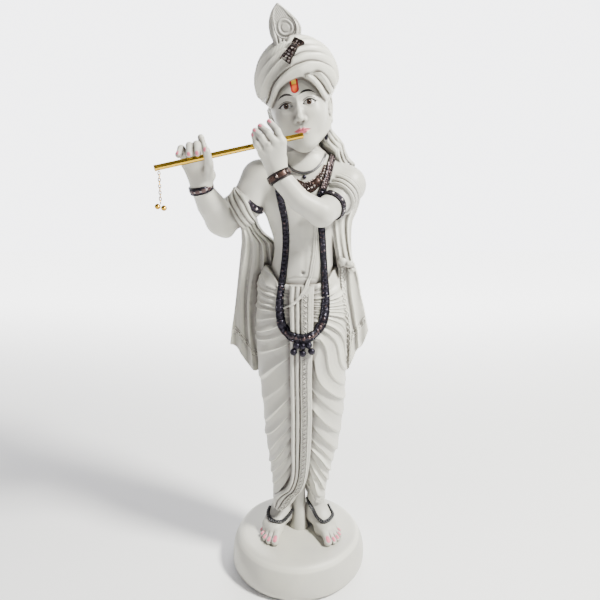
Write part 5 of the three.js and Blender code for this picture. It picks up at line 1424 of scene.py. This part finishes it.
def band_piece(node, strap, half_at, thick, relief, look, step=1.1, rows=15, closed=False):
    """A band along a strap. Its relief gives height and tone by run, across, half width and length."""
    thick = thick * MM
    p, out = strap
    if closed:
        p, out = (np.concatenate([v[-3:], v, v[:4]]) for v in (p, out))
    at = np.concatenate([[0], np.cumsum(np.linalg.norm(np.diff(p, axis=0), axis=1))])
    if closed:
        at = at - at[3]
    length = at[-4] if closed else at[-1]
    curve = along(np.column_stack([at, p, out]))
    n = int(length / step)
    s = np.arange(n) / n * length if closed else np.linspace(0, length, n)
    here = np.stack(curve(s), 1).astype(float)
    run = unit((np.stack(curve(s + 0.6), 1) - np.stack(curve(s - 0.6), 1))[:, :3])
    out = unit(here[:, 3:] - run * (here[:, 3:] * run).sum(1, keepdims=True))
    side = np.cross(run, out)
    half = half_at(s / length)
    c = np.linspace(-1, 1, rows)
    across = c[None] * half[:, None]
    height, tone = relief(s[:, None] + 0 * across, across, half[:, None] + 0 * across, length)
    height = thick * (0.3 + 0.7 * np.sqrt(1 - np.abs(c[None]) ** 4)) * height
    low = np.full((n, 2), -SINK)
    a = np.concatenate([across, half[:, None], -half[:, None]], 1)
    h = np.concatenate([height, low], 1)
    points = here[:, None, :3] + side[:, None] * a[..., None] + out[:, None] * h[..., None]
    m = rows + 2
    faces = [grid_faces(n, m, closed)]
    if not closed:
        faces += [np.arange(m)[::-1][None], np.arange(m)[None] + (n - 1) * m]
    mesh = mesh_of(node + "_band", in_metres(points.reshape(-1, 3)), faces)
    give(mesh, "tone", np.concatenate([tone, 0 * low], 1).reshape(-1))
    give(mesh, "hollow", np.concatenate([clamp(1 - height / thick, 0, 1), np.ones((n, 2))], 1).reshape(-1))
    shade_smooth(mesh)
    mesh.set_sharp_from_angle(angle=0.55)
    add_object(node + "_band", mesh, look, node)


def lathe_piece(name, node, start, direction, profile, sides, look, tone, smooth=True, angle=0.0):
    """A turned body: [radius, run] pairs in metres along a direction from a start, and a tone at each."""
    w = unit(direction)
    first = unit(np.cross(w, (0.31, 0.9, 0.3)))
    second = np.cross(w, first)
    profile = np.array(profile, float)
    turn = np.arange(sides) / sides * 2 * math.pi + angle
    ring = np.cos(turn)[:, None] * first + np.sin(turn)[:, None] * second
    inner = profile[1:-1]
    points = np.array(start, float) + inner[:, None, :1] * ring[None] + inner[:, None, 1:] * w
    ends = np.array(start, float) + profile[[0, -1], 1][:, None] * w
    mesh = mesh_of(name, np.concatenate([points.reshape(-1, 3), ends]), turned_faces(len(inner), sides))
    values = np.array(tone)[1:-1]
    give(mesh, "tone", np.concatenate([np.repeat(values, sides), [values[0], values[-1]]]))
    give(mesh, "hollow", np.zeros(len(mesh.vertices)))
    shade_smooth(mesh, smooth)
    if smooth:
        mesh.set_sharp_from_angle(angle=0.6)
    add_object(name, mesh, look, node)


# Reliefs of the bands, by the run along a band, the place across it, its half width and its length
def dome(r):
    return np.sqrt(clamp(1 - r * r, 0, 1))


def every(run, pitch, shift=0.0):
    """How far a run is from the nearest of a row of places, and that place's number."""
    number = np.round(run / pitch - shift)
    return run - (number + shift) * pitch, number


def chance(number, seed):
    """A value from 0 to 1 that looks drawn by lot for each number."""
    v = np.sin(number * 12.9898 + seed * 78.233) * 43758.5453
    return v - np.floor(v)


def mala_relief(s, a, half, length):
    low = smoothstep(0.085, 0.06, np.abs(s / length - 0.5))
    neck = smoothstep(85, 76, s)
    d, number = every(s, 8.0)
    r = np.hypot(d, a) / 3.5
    height = 0.5 + 0.42 * dome(r) + 0.16 * ridge(r - 1.12, 0.22)
    e, small = every(s, 4.0, 0.5)
    q = np.hypot(e, np.abs(a) - (half - 1.9)) / 1.9
    height = np.maximum(height, 0.42 + 0.4 * dome(q))
    facet = 0.1 * np.abs(np.sin(d * 1.7)) * np.abs(np.cos(a * 1.3))
    # Painted highlights: lighter middles on some roundels and a few lighter edge beads, drawn by lot, stand
    # for glints on the dark metal.
    shine = chance(number, 1) ** 3
    tone = 0.03 + 0.4 * shine * (r < 0.45) + 0.1 * (np.abs(r - 1.1) < 0.2)
    tone = np.where((chance(small + 40 * (a > 0), 2) > 0.85) & (q < 0.55), 0.55, tone)
    rose = 0.5 + 0.5 * np.cos(6 * np.arctan2(a, d)) * smoothstep(0.3, 0.8, r)
    lit = 0.12 + 0.42 * rose * (r < 0.95) * (0.4 + 0.6 * chance(number, 9))
    tone = np.where((low > 0.5) & (r < 1.25), lit, tone)
    core = (neck > 0.5) & (np.abs(a) < 2.9)
    petals = np.abs(np.sin(s * 0.75)) * np.abs(np.cos(a * 0.9))
    height = np.where(core, 0.62 + 0.22 * petals, height + facet * (1 - low))
    tone = np.where(core, 0.26 + 0.35 * (petals > 0.8), tone)
    seed = (np.abs(np.abs(a) - 3.8) < 0.8) & (np.abs(every(s, 3.0)[0]) < 0.8)
    return height, np.where((neck > 0.5) & seed, 0.72, tone)


def choker_relief(s, a, half, length):
    edge = np.abs(a) / half
    rim = ridge(edge - 0.8, 0.3)
    height = 0.6 + 0.34 * rim + 0.06 * dome(every(s, 3.2)[0] / 1.3)
    return height, 0.3 + 0.42 * rim * (0.6 + 0.4 * np.sin(s * 0.35))


def collar_relief(s, a, half, length):
    t = s / length
    up = -a / half
    upper = ridge(up - 0.82, 0.2) * dome(every(s, 3.0)[0] / 1.5)
    lower = ridge(up + 0.86, 0.2)
    one, two = every(s + 0.9 * a, 5.6)[0], every(s - 0.9 * a, 5.6)[0]
    net = np.maximum(ridge(one, 1.5), ridge(two, 1.5))
    stone = dome(np.hypot((t - 0.69) * length / 6.8, a / 4.2))
    ring = ridge(np.hypot((t - 0.69) * length / 7.8, a / 5.2) - 1, 0.2)
    small = dome(np.hypot(every(s, 5.6, 0.5)[0], a - half * 0.3) / 1.5) * (stone == 0)
    height = 0.42 + 0.3 * net
    height = np.maximum(height, 0.45 + 0.5 * np.maximum(upper, 0.8 * lower))
    height = np.where(ring > 0, np.maximum(height, 0.6 + 0.3 * ring), height)
    height = np.maximum(np.where(stone > 0, 0.5 + 0.55 * stone, height), 0.4 + 0.45 * small)
    tone = 0.05 + 0.36 * net + 0.22 * upper + 0.2 * lower
    tone = np.where(small > 0.2, 0.78, tone)
    tone = np.where((upper > 0.5) & (chance(every(s, 3.0)[1], 4) > 0.5), 0.85, tone)
    return height, np.where(stone > 0, 0.42 + 0.12 * stone, tone)


def stones_relief(pitch, reach, tall, tone_stone, shift=0.0):
    """Rims at both edges and a row of framed rectangular stones."""

    def relief(s, a, half, length):
        p = length / max(round(length / pitch), 1)
        d, number = every(s, p, shift)
        edge = np.abs(a) / half
        rim = ridge(edge - 0.86, 0.16)
        box = np.maximum(np.abs(d) / reach, np.abs(a) / (half * tall))
        stone = smoothstep(1.0, 0.72, box)
        frame = ridge(box - 1.12, 0.16)
        bead = dome(np.hypot(p / 2 - np.abs(d), a) / 2.0)
        height = 0.5 + 0.36 * rim + 0.26 * stone + 0.2 * frame
        height = np.maximum(height, 0.5 + 0.36 * bead)
        tone = 0.05 + 0.14 * (rim > 0.7) + 0.05 * (frame > 0.4)
        tone = np.where(stone > 0.35, tone_stone + 0.08 * (chance(number, 5) - 0.5), tone)
        return height, np.where(bead > 0.5, 0.7, tone)

    return relief


def armlet_relief(s, a, half, length):
    edge = np.abs(a) / half
    rim = ridge(edge - 0.85, 0.17)
    d, number = every(s, 9.0, 0.2)
    bead = dome(np.hypot(d, a) / 2.3)
    ring = ridge(np.hypot(d, a) / 3.3 - 1, 0.2)
    bar = ridge(every(s, 9.0, 0.7)[0], 1.3) * (edge < 0.7)
    height = 0.48 + 0.38 * rim + 0.14 * ring + 0.2 * bar
    height = np.maximum(height, 0.5 + 0.4 * bead)
    tone = 0.05 + 0.2 * (rim > 0.6) + 0.14 * (ring > 0.4) + 0.12 * (bar > 0.4)
    return height, np.where(bead > 0.3, 0.2 + 0.7 * (chance(number, 7) > 0.62), tone)


def anklet_relief(s, a, half, length):
    d, number = every(s, 4.6)
    ring = ridge(np.hypot(d, a - half * 0.25) / 2.0 - 1, 0.4)
    rim = ridge(a / half + 0.75, 0.25)
    tone = 0.1 + 0.5 * (ring > 0.4) * (0.5 + 0.5 * chance(number, 3)) + 0.2 * rim
    return 0.5 + 0.4 * np.maximum(ring, rim), tone


def brooch_relief(s, a, half, length):
    t = s / length
    edge = np.abs(a) / half
    rim = ridge(edge - 0.86, 0.2)
    upper = smoothstep(0.5, 0.56, t)
    d, row = every(s, length * 0.105, 0.5)
    e = every(a + 0.8 * (row % 2), half.max() * 0.62)[0]
    cell = np.hypot(d / 1.5, e / 2.2)
    low_open = cell < 1.12
    from_flower = s - length * 0.80
    middle = np.hypot(from_flower, a)
    turn = np.arctan2(a, from_flower)
    petal = np.hypot(middle - 5.3, 2.9 * np.sin(2.5 * turn + 0.6)) / 1.7
    up_open = (petal < 1.15) | (middle < 2.0)
    opened = np.where(upper > 0.5, up_open, low_open) & (edge < 0.84)
    waist = ridge((t - 0.53) / 0.035, 1.0)
    height = np.where(opened, 0.55, 0.8 + 0.14 * rim) + 0.12 * waist
    tone = np.where(opened, 1.0 - 0.35 * chance(row + np.round(a / 4), 3) * (upper < 0.5), 0.16 + 0.12 * rim)
    return height, tone


def jewel_material(name, dark, middle, light, metallic, rough):
    """Cast metal: dark, middle and light places by tone, darker in the hollows, and dusty unless bright."""
    dust, smoother, rougher, grain = (0.25, 0.06, 0.1, 0.25) if metallic < 1 else (0.0, 0.01, 0.02, 0.05)
    m, t, shader = nodes_of(name)
    g = Graph(t)
    tone, hollow = g.attribute("tone"), g.attribute("hollow")
    patch, fine = g.noise(120, 3, 0.6), g.noise(700, 2, 0.5)
    colour = g.mix(g.band(tone, 0.1, 0.45), dark, middle)
    colour = g.mix(g.band(tone, 0.5, 0.95), colour, light)
    shadow = g.times(g.band(hollow, 0.3, 0.8), g.band(tone, 0.9, 0.4))
    colour = g.mix(shadow, colour, (0.012, 0.011, 0.013))
    colour = g.mix(g.times(g.band(patch, 0.5, 0.8), dust), colour, (0.02, 0.018, 0.018))
    g.put(shader.inputs["Base Color"], colour)
    g.put(shader.inputs["Metallic"], g.band(tone, 0.55, 0.95, metallic, 0.2))
    g.put(shader.inputs["Roughness"], g.band(patch, 0.3, 0.7, rough - smoother, rough + rougher))
    g.put(shader.inputs["Normal"], g.bump(fine, grain, 0.0003))
    return m


gunmetal, bronze, steel, gold = ((slot, jewel_material(name, *values)) for slot, name, *values in (
    ("dark_metal", "dark_metal", (0.022, 0.02, 0.03), (0.13, 0.085, 0.08), (0.62, 0.58, 0.58), 0.8, 0.3),
    ("bronze_metal", "bronze_metal", (0.025, 0.018, 0.018), (0.075, 0.042, 0.034), (0.8, 0.74, 0.71), 0.75,
     0.3),
    ("dark_metal", "steel_metal", (0.045, 0.045, 0.05), (0.14, 0.14, 0.145), (0.5, 0.5, 0.5), 0.7, 0.35),
    ("gilt_metal", "gilt_metal", (0.42, 0.23, 0.02), (0.60, 0.37, 0.04), (0.8, 0.6, 0.2), 1.0, 0.2),
))


def even(half):
    """One half width in millimetres all along a strap."""
    return lambda t: half * MM + 0 * t


MALA_PATH = [
    (63, 752), (59, 738), (54, 718), (47, 698), (40, 679), (39, 653), (43, 625), (46, 586), (49, 541),
    (51, 497), (49, 468), (43, 449), (31, 435), (18, 429), (7, 427), (-5, 429), (-18, 435), (-28, 448),
    (-32, 466), (-33, 492), (-29, 523), (-23, 568), (-21, 604), (-23, 639), (-28, 665), (-33, 690),
    (-33, 716), (-28, 737),
]
MALA_BEADS = [(-7.5, 403), (9, 400), (25.5, 404), (-2, 415), (9, 414), (20, 416)]
MALA_BEAD_RADIUS, CHOKER_BEAD_RADIUS = 0.00575, 0.0035
CHOKER_PATH = [(-27, 752), (-22, 742), (-15, 732), (-3, 724), (12, 721), (27, 725), (40, 736), (47, 747),
               (50, 756)]
COLLAR_PATH = [(-26, 734), (-18, 720), (-10, 708), (1, 699), (12, 695), (24, 698), (35, 707), (43, 719),
               (49, 735)]


def mala_half(t):
    return MM / 2 * (11.5 + 4 * smoothstep(0.2, 0.06, np.abs(t - 0.5)))


def collar_half(t):
    return MM / 2 * (5 + 14 * np.sin(math.pi * clamp(t, 0, 1)) ** 1.5)


def brooch_half(t):
    return MM / 2 * (12 + 6 * (0.5 + 0.5 * np.cos(2 * math.pi * t)))


def faceted_bead(name, node, centre, radius, tone=0.05):
    profile = [(radius * math.sin(v), -radius * math.cos(v)) for v in np.linspace(0, math.pi, 8)]
    lathe_piece(name, node, in_metres(np.array(centre, float)), (0.2, -0.9, 0.35), profile, 9, gunmetal,
                [tone] * 8, smooth=False, angle=centre[0])


mala_strap = front_strap(body_form, dense(MALA_PATH, 136), -80)
band_piece("mala", mala_strap, mala_half, 5.5, mala_relief, gunmetal, step=0.95, rows=19)
mala_front = mala_strap[0][mala_strap[0][:, 2].argmin(), 1]
for i, (x, z) in enumerate(MALA_BEADS):
    faceted_bead(f"mala_bead_{i + 1}", "mala", (x, mala_front - 3, z), MALA_BEAD_RADIUS)
choker_strap = front_strap(torso_form, CHOKER_PATH, -76)
band_piece("choker", choker_strap, even(2), 3, choker_relief, steel, rows=9)
faceted_bead("choker_bead", "choker", choker_strap[0][4] + (0, -1, -7), CHOKER_BEAD_RADIUS, 0.12)
collar_strap = front_strap(torso_form, COLLAR_PATH, -76)
band_piece("collar", collar_strap, collar_half, 3, collar_relief, bronze, step=0.8, rows=25)


def between(a, b, t):
    return [p + (q - p) * t for p, q in zip(a, b)]


far_ring = ring_strap(arms_form, WRISTS[0], (-0.22, -0.35, 0.91))
near_ring = ring_strap(arms_form, between(FOREARMS[1], WRISTS[1], 0.93), (-0.47, 0.05, 0.88))
far_stones, near_stones = stones_relief(9, 3, 0.5, 0.3), stones_relief(19, 7.4, 0.62, 0.42, 0.3)
band_piece("bracelet_left", far_ring, even(5.5), 4, far_stones, gunmetal, closed=True)
band_piece("bracelet_right", near_ring, even(6.5), 4, near_stones, bronze, closed=True)
ARMLETS = [
    [(-90, -44, 669), (-82, -44, 664), (-77, -40, 660), (-71, -34, 657), (-65, -27, 655), (-60, -18, 654),
     (-58, -8, 655)],
    [(49, -50, 688), (54, -57, 687), (61, -66, 684), (69, -69, 680), (76, -69, 673), (79, -68, 665),
     (79, -65, 655), (76, -57, 647), (71, -48, 641)],
]
ANKLETS = [
    [(-58, 4, 42), (-61, -8, 34), (-56, -20, 28), (-47, -29, 29), (-38, -29, 28), (-31, -23, 27),
     (-21, -12, 31), (-13, -1, 38)],
    [(14, 5, 62), (23, -3, 56), (31, -11, 45), (39, -20, 34), (45, -26, 31), (52, -31, 29), (59, -28, 29),
     (66, -19, 29), (71, -9, 32), (71, 0, 40), (64, 7, 47)],
]
for k, side in enumerate(("left", "right")):
    armlet_strap, anklet_strap = laid_strap(arms_form, ARMLETS[k]), laid_strap(feet_forms[k], ANKLETS[k])
    band_piece("armlet_" + side, armlet_strap, even(6), 4, armlet_relief, gunmetal, step=0.9, rows=17)
    band_piece("anklet_" + side, anklet_strap, even(3.25), 4, anklet_relief, steel, step=0.7, rows=11)

reach = np.linspace(-0.5, 0.5, 5) * 37 * MM
brooch_at = meet(turban_form, [(-8.5 + 0.55 * r, -120, 915 + 0.835 * r) for r in reach], [(0, 1, 0)] * 5)
brooch_strap = brooch_at, unit([(-0.1, -0.88, 0.45)] * 5)
band_piece("turban_brooch", brooch_strap, brooch_half, 5, brooch_relief, bronze, step=0.55, rows=37)

EARRING_PROFILE = [
    (0, 0), (0.0014, 0.0004), (0.0016, 0.002), (0.0014, 0.0042), (0.0022, 0.005), (0.0022, 0.0065),
    (0.0018, 0.0075), (0.0023, 0.0105), (0.0029, 0.016), (0.003, 0.0195), (0.0022, 0.0224), (0, 0.023),
]
EARRING_TONES = [0.3] * 4 + [0.6] * 3 + [0.05] * 5
for side, top in (("left", (-41, -8, 790)), ("right", (51, -12, 807))):
    lathe_piece("earring_" + side + "_drop", "earring_" + side, in_metres(np.array(top, float)), (0, 0, -1),
                EARRING_PROFILE, 14, gunmetal, EARRING_TONES)

# Flute, with its chain of links and two bells
FLUTE_LENGTH, BORE_RADIUS, BORE_DEPTH = 0.21, 0.0028, 0.012
FLUTE_END = [(0.0036, 0), (0.004, 0.0004), (0.0041, 0.003), (0.0039, 0.0036)]
LINKS, LINK_PITCH = 10, 0.00407
CHAIN_LENGTH, CHAIN_CLEARANCE = 0.042, 0.0005
BELL_RADIUS, BELL_BAND_RADIUS, BELL_SPACING = 0.00375, 0.0041, 0.0041

flute_far, flute_near = in_metres(np.array([(-216, -170, 720), (9, -90, 778)]))
flute_run = unit(flute_near - flute_far)
flute_profile = [(0, BORE_DEPTH), (BORE_RADIUS, BORE_DEPTH), (BORE_RADIUS, 0), *FLUTE_END]
flute_profile += [(0.0039, v) for v in np.linspace(0.02, 0.19, 6)]
flute_profile += [(0.0039, 0.2064), (0.0041, 0.207), (0.004, 0.2096), (0.0036, FLUTE_LENGTH),
                  (BORE_RADIUS, FLUTE_LENGTH)]
flute_profile += [(r, FLUTE_LENGTH - BORE_DEPTH) for r in (BORE_RADIUS, 0)]
flute_tones = [0.05] * 2 + [0.5] * (len(flute_profile) - 4) + [0.05] * 2
lathe_piece("flute_tube", "flute", flute_far, flute_run, flute_profile, 40, gold, flute_tones)
hook = flute_far + flute_run * 0.006
chain_top = hook[2] - 0.004 - CHAIN_CLEARANCE - 0.00035


def link(number, centre, turn):
    """One oval link of the chain, standing upright and turned about it."""
    around, wire = 16, 6
    a, b = np.meshgrid(np.arange(around) / around * 2 * math.pi, np.arange(wire) / wire * 2 * math.pi,
                       indexing="ij")
    tall, wide, thick = 0.0026, 0.0014, 0.0006
    flat = (wide + thick * np.cos(b)) * np.cos(a)
    points = np.stack([
        flat * math.cos(turn) - thick * np.sin(b) * math.sin(turn),
        flat * math.sin(turn) + thick * np.sin(b) * math.cos(turn),
        (tall + thick * np.cos(b)) * np.sin(a),
    ], -1) + centre
    faces_out = grid_faces(around, wire, closed=True)[:, [0, 3, 2, 1]]
    mesh = mesh_of(f"chain_link_{number}", points.reshape(-1, 3), [faces_out])
    give(mesh, "tone", np.zeros(around * wire))
    give(mesh, "hollow", np.zeros(around * wire))
    shade_smooth(mesh)
    add_object(f"chain_link_{number}", mesh, gold, "chain")


for i in range(LINKS):
    link(i + 1, (hook[0], hook[1], chain_top - 0.0028 - i * LINK_PITCH), math.pi / 2 * (i % 2) + 0.4)
bell_profile = [(BELL_RADIUS * math.sin(v), -BELL_RADIUS * math.cos(v)) for v in np.linspace(0, math.pi, 13)]
bell_profile[6] = (BELL_BAND_RADIUS, 0)
bell_tones = [0.0] * 6 + [0.6] + [0.0] * 6
for side, sign, lower in (("left", -1, 0), ("right", 1, 0.002)):
    height = chain_top - CHAIN_LENGTH - BELL_RADIUS + 0.0006 - lower
    centre = (hook[0] + sign * BELL_SPACING, hook[1], height)
    lathe_piece("bell_" + side + "_shell", "bell_" + side, centre, (0, 0, 1), bell_profile, 24, gold,
                bell_tones)

# Stage, lights and camera
FLOOR_REACH = 6
floor_corners = [(a * FLOOR_REACH, b * FLOOR_REACH, 0) for a, b in ((-1, -1), (1, -1), (1, 1), (-1, 1))]
floor = bpy.data.objects.new("floor", mesh_of("floor", floor_corners, [[[0, 1, 2, 3]]]))
bpy.context.scene.collection.objects.link(floor)
m, t, shader = nodes_of("pale_floor")
g = Graph(t)
g.put(shader.inputs["Base Color"], g.mix(g.noise(3, 2), (0.95, 0.95, 0.95), (0.92, 0.92, 0.92)))
shader.inputs["Roughness"].default_value = 0.9
# The floor glows more strongly further back, as painted light: a bright far floor that also lights the figure
# from low down.
far = t.nodes.new("ShaderNodeSeparateXYZ")
g.put(far.inputs[0], g.coords())
shader.inputs["Emission Color"].default_value = (1, 1, 1, 1)
g.put(shader.inputs["Emission Strength"], g.band(far.outputs["Y"], 0.1, 2.6, 0.0, 4.0))
floor.data.materials.append(m)

world = bpy.data.worlds.new("studio")
bpy.context.scene.world = world
world.use_nodes = True
sky = Graph(world.node_tree)
split = sky.t.nodes.new("ShaderNodeSeparateXYZ")
sky.put(split.inputs[0], sky.t.nodes.new("ShaderNodeTexCoord").outputs["Generated"])
backdrop = sky.t.nodes["Background"]
backdrop.inputs["Color"].default_value = (0.97, 0.97, 1.0, 1)
around = sky.band(split.outputs["Y"], -0.35, 0.75, 0.16, 0.95)
behind = sky.band(split.outputs["Y"], 0.7, 0.85, 0.0, 4.0)
sky.put(backdrop.inputs["Strength"], sky.math("ADD", around, behind))


def area_light(name, place, target, size, power, colour=(1, 1, 1)):
    light = bpy.data.lights.new(name, "AREA")
    light.shape = "DISK"
    light.size = size
    light.energy = power
    light.color = colour
    o = bpy.data.objects.new(name, light)
    bpy.context.scene.collection.objects.link(o)
    o.location = place
    o.rotation_euler = (Vector(target) - Vector(place)).to_track_quat("-Z", "Y").to_euler()


area_light("key", (1.45, -0.75, 2.1), (0, 0, 0.45), 0.4, 185, (1.0, 0.99, 0.92))
area_light("fill", (-1.6, -1.2, 0.9), (0, 0, 0.5), 1.6, 6, (0.95, 0.88, 1.0))
area_light("back", (0.3, 1.8, 1.6), (0, 0, 0.5), 1.4, 20)

CAMERA_PLACE, CAMERA_DIP = (0.0036, -0.811, 0.6285), 10.8
camera = bpy.data.objects.new("camera", bpy.data.cameras.new("camera"))
bpy.context.scene.collection.objects.link(camera)
camera.data.lens = 30
camera.data.sensor_width = 36
camera.location = CAMERA_PLACE
camera.rotation_euler = (math.radians(90 - CAMERA_DIP), 0, 0)
bpy.context.scene.camera = camera

bpy.context.view_layer.update()
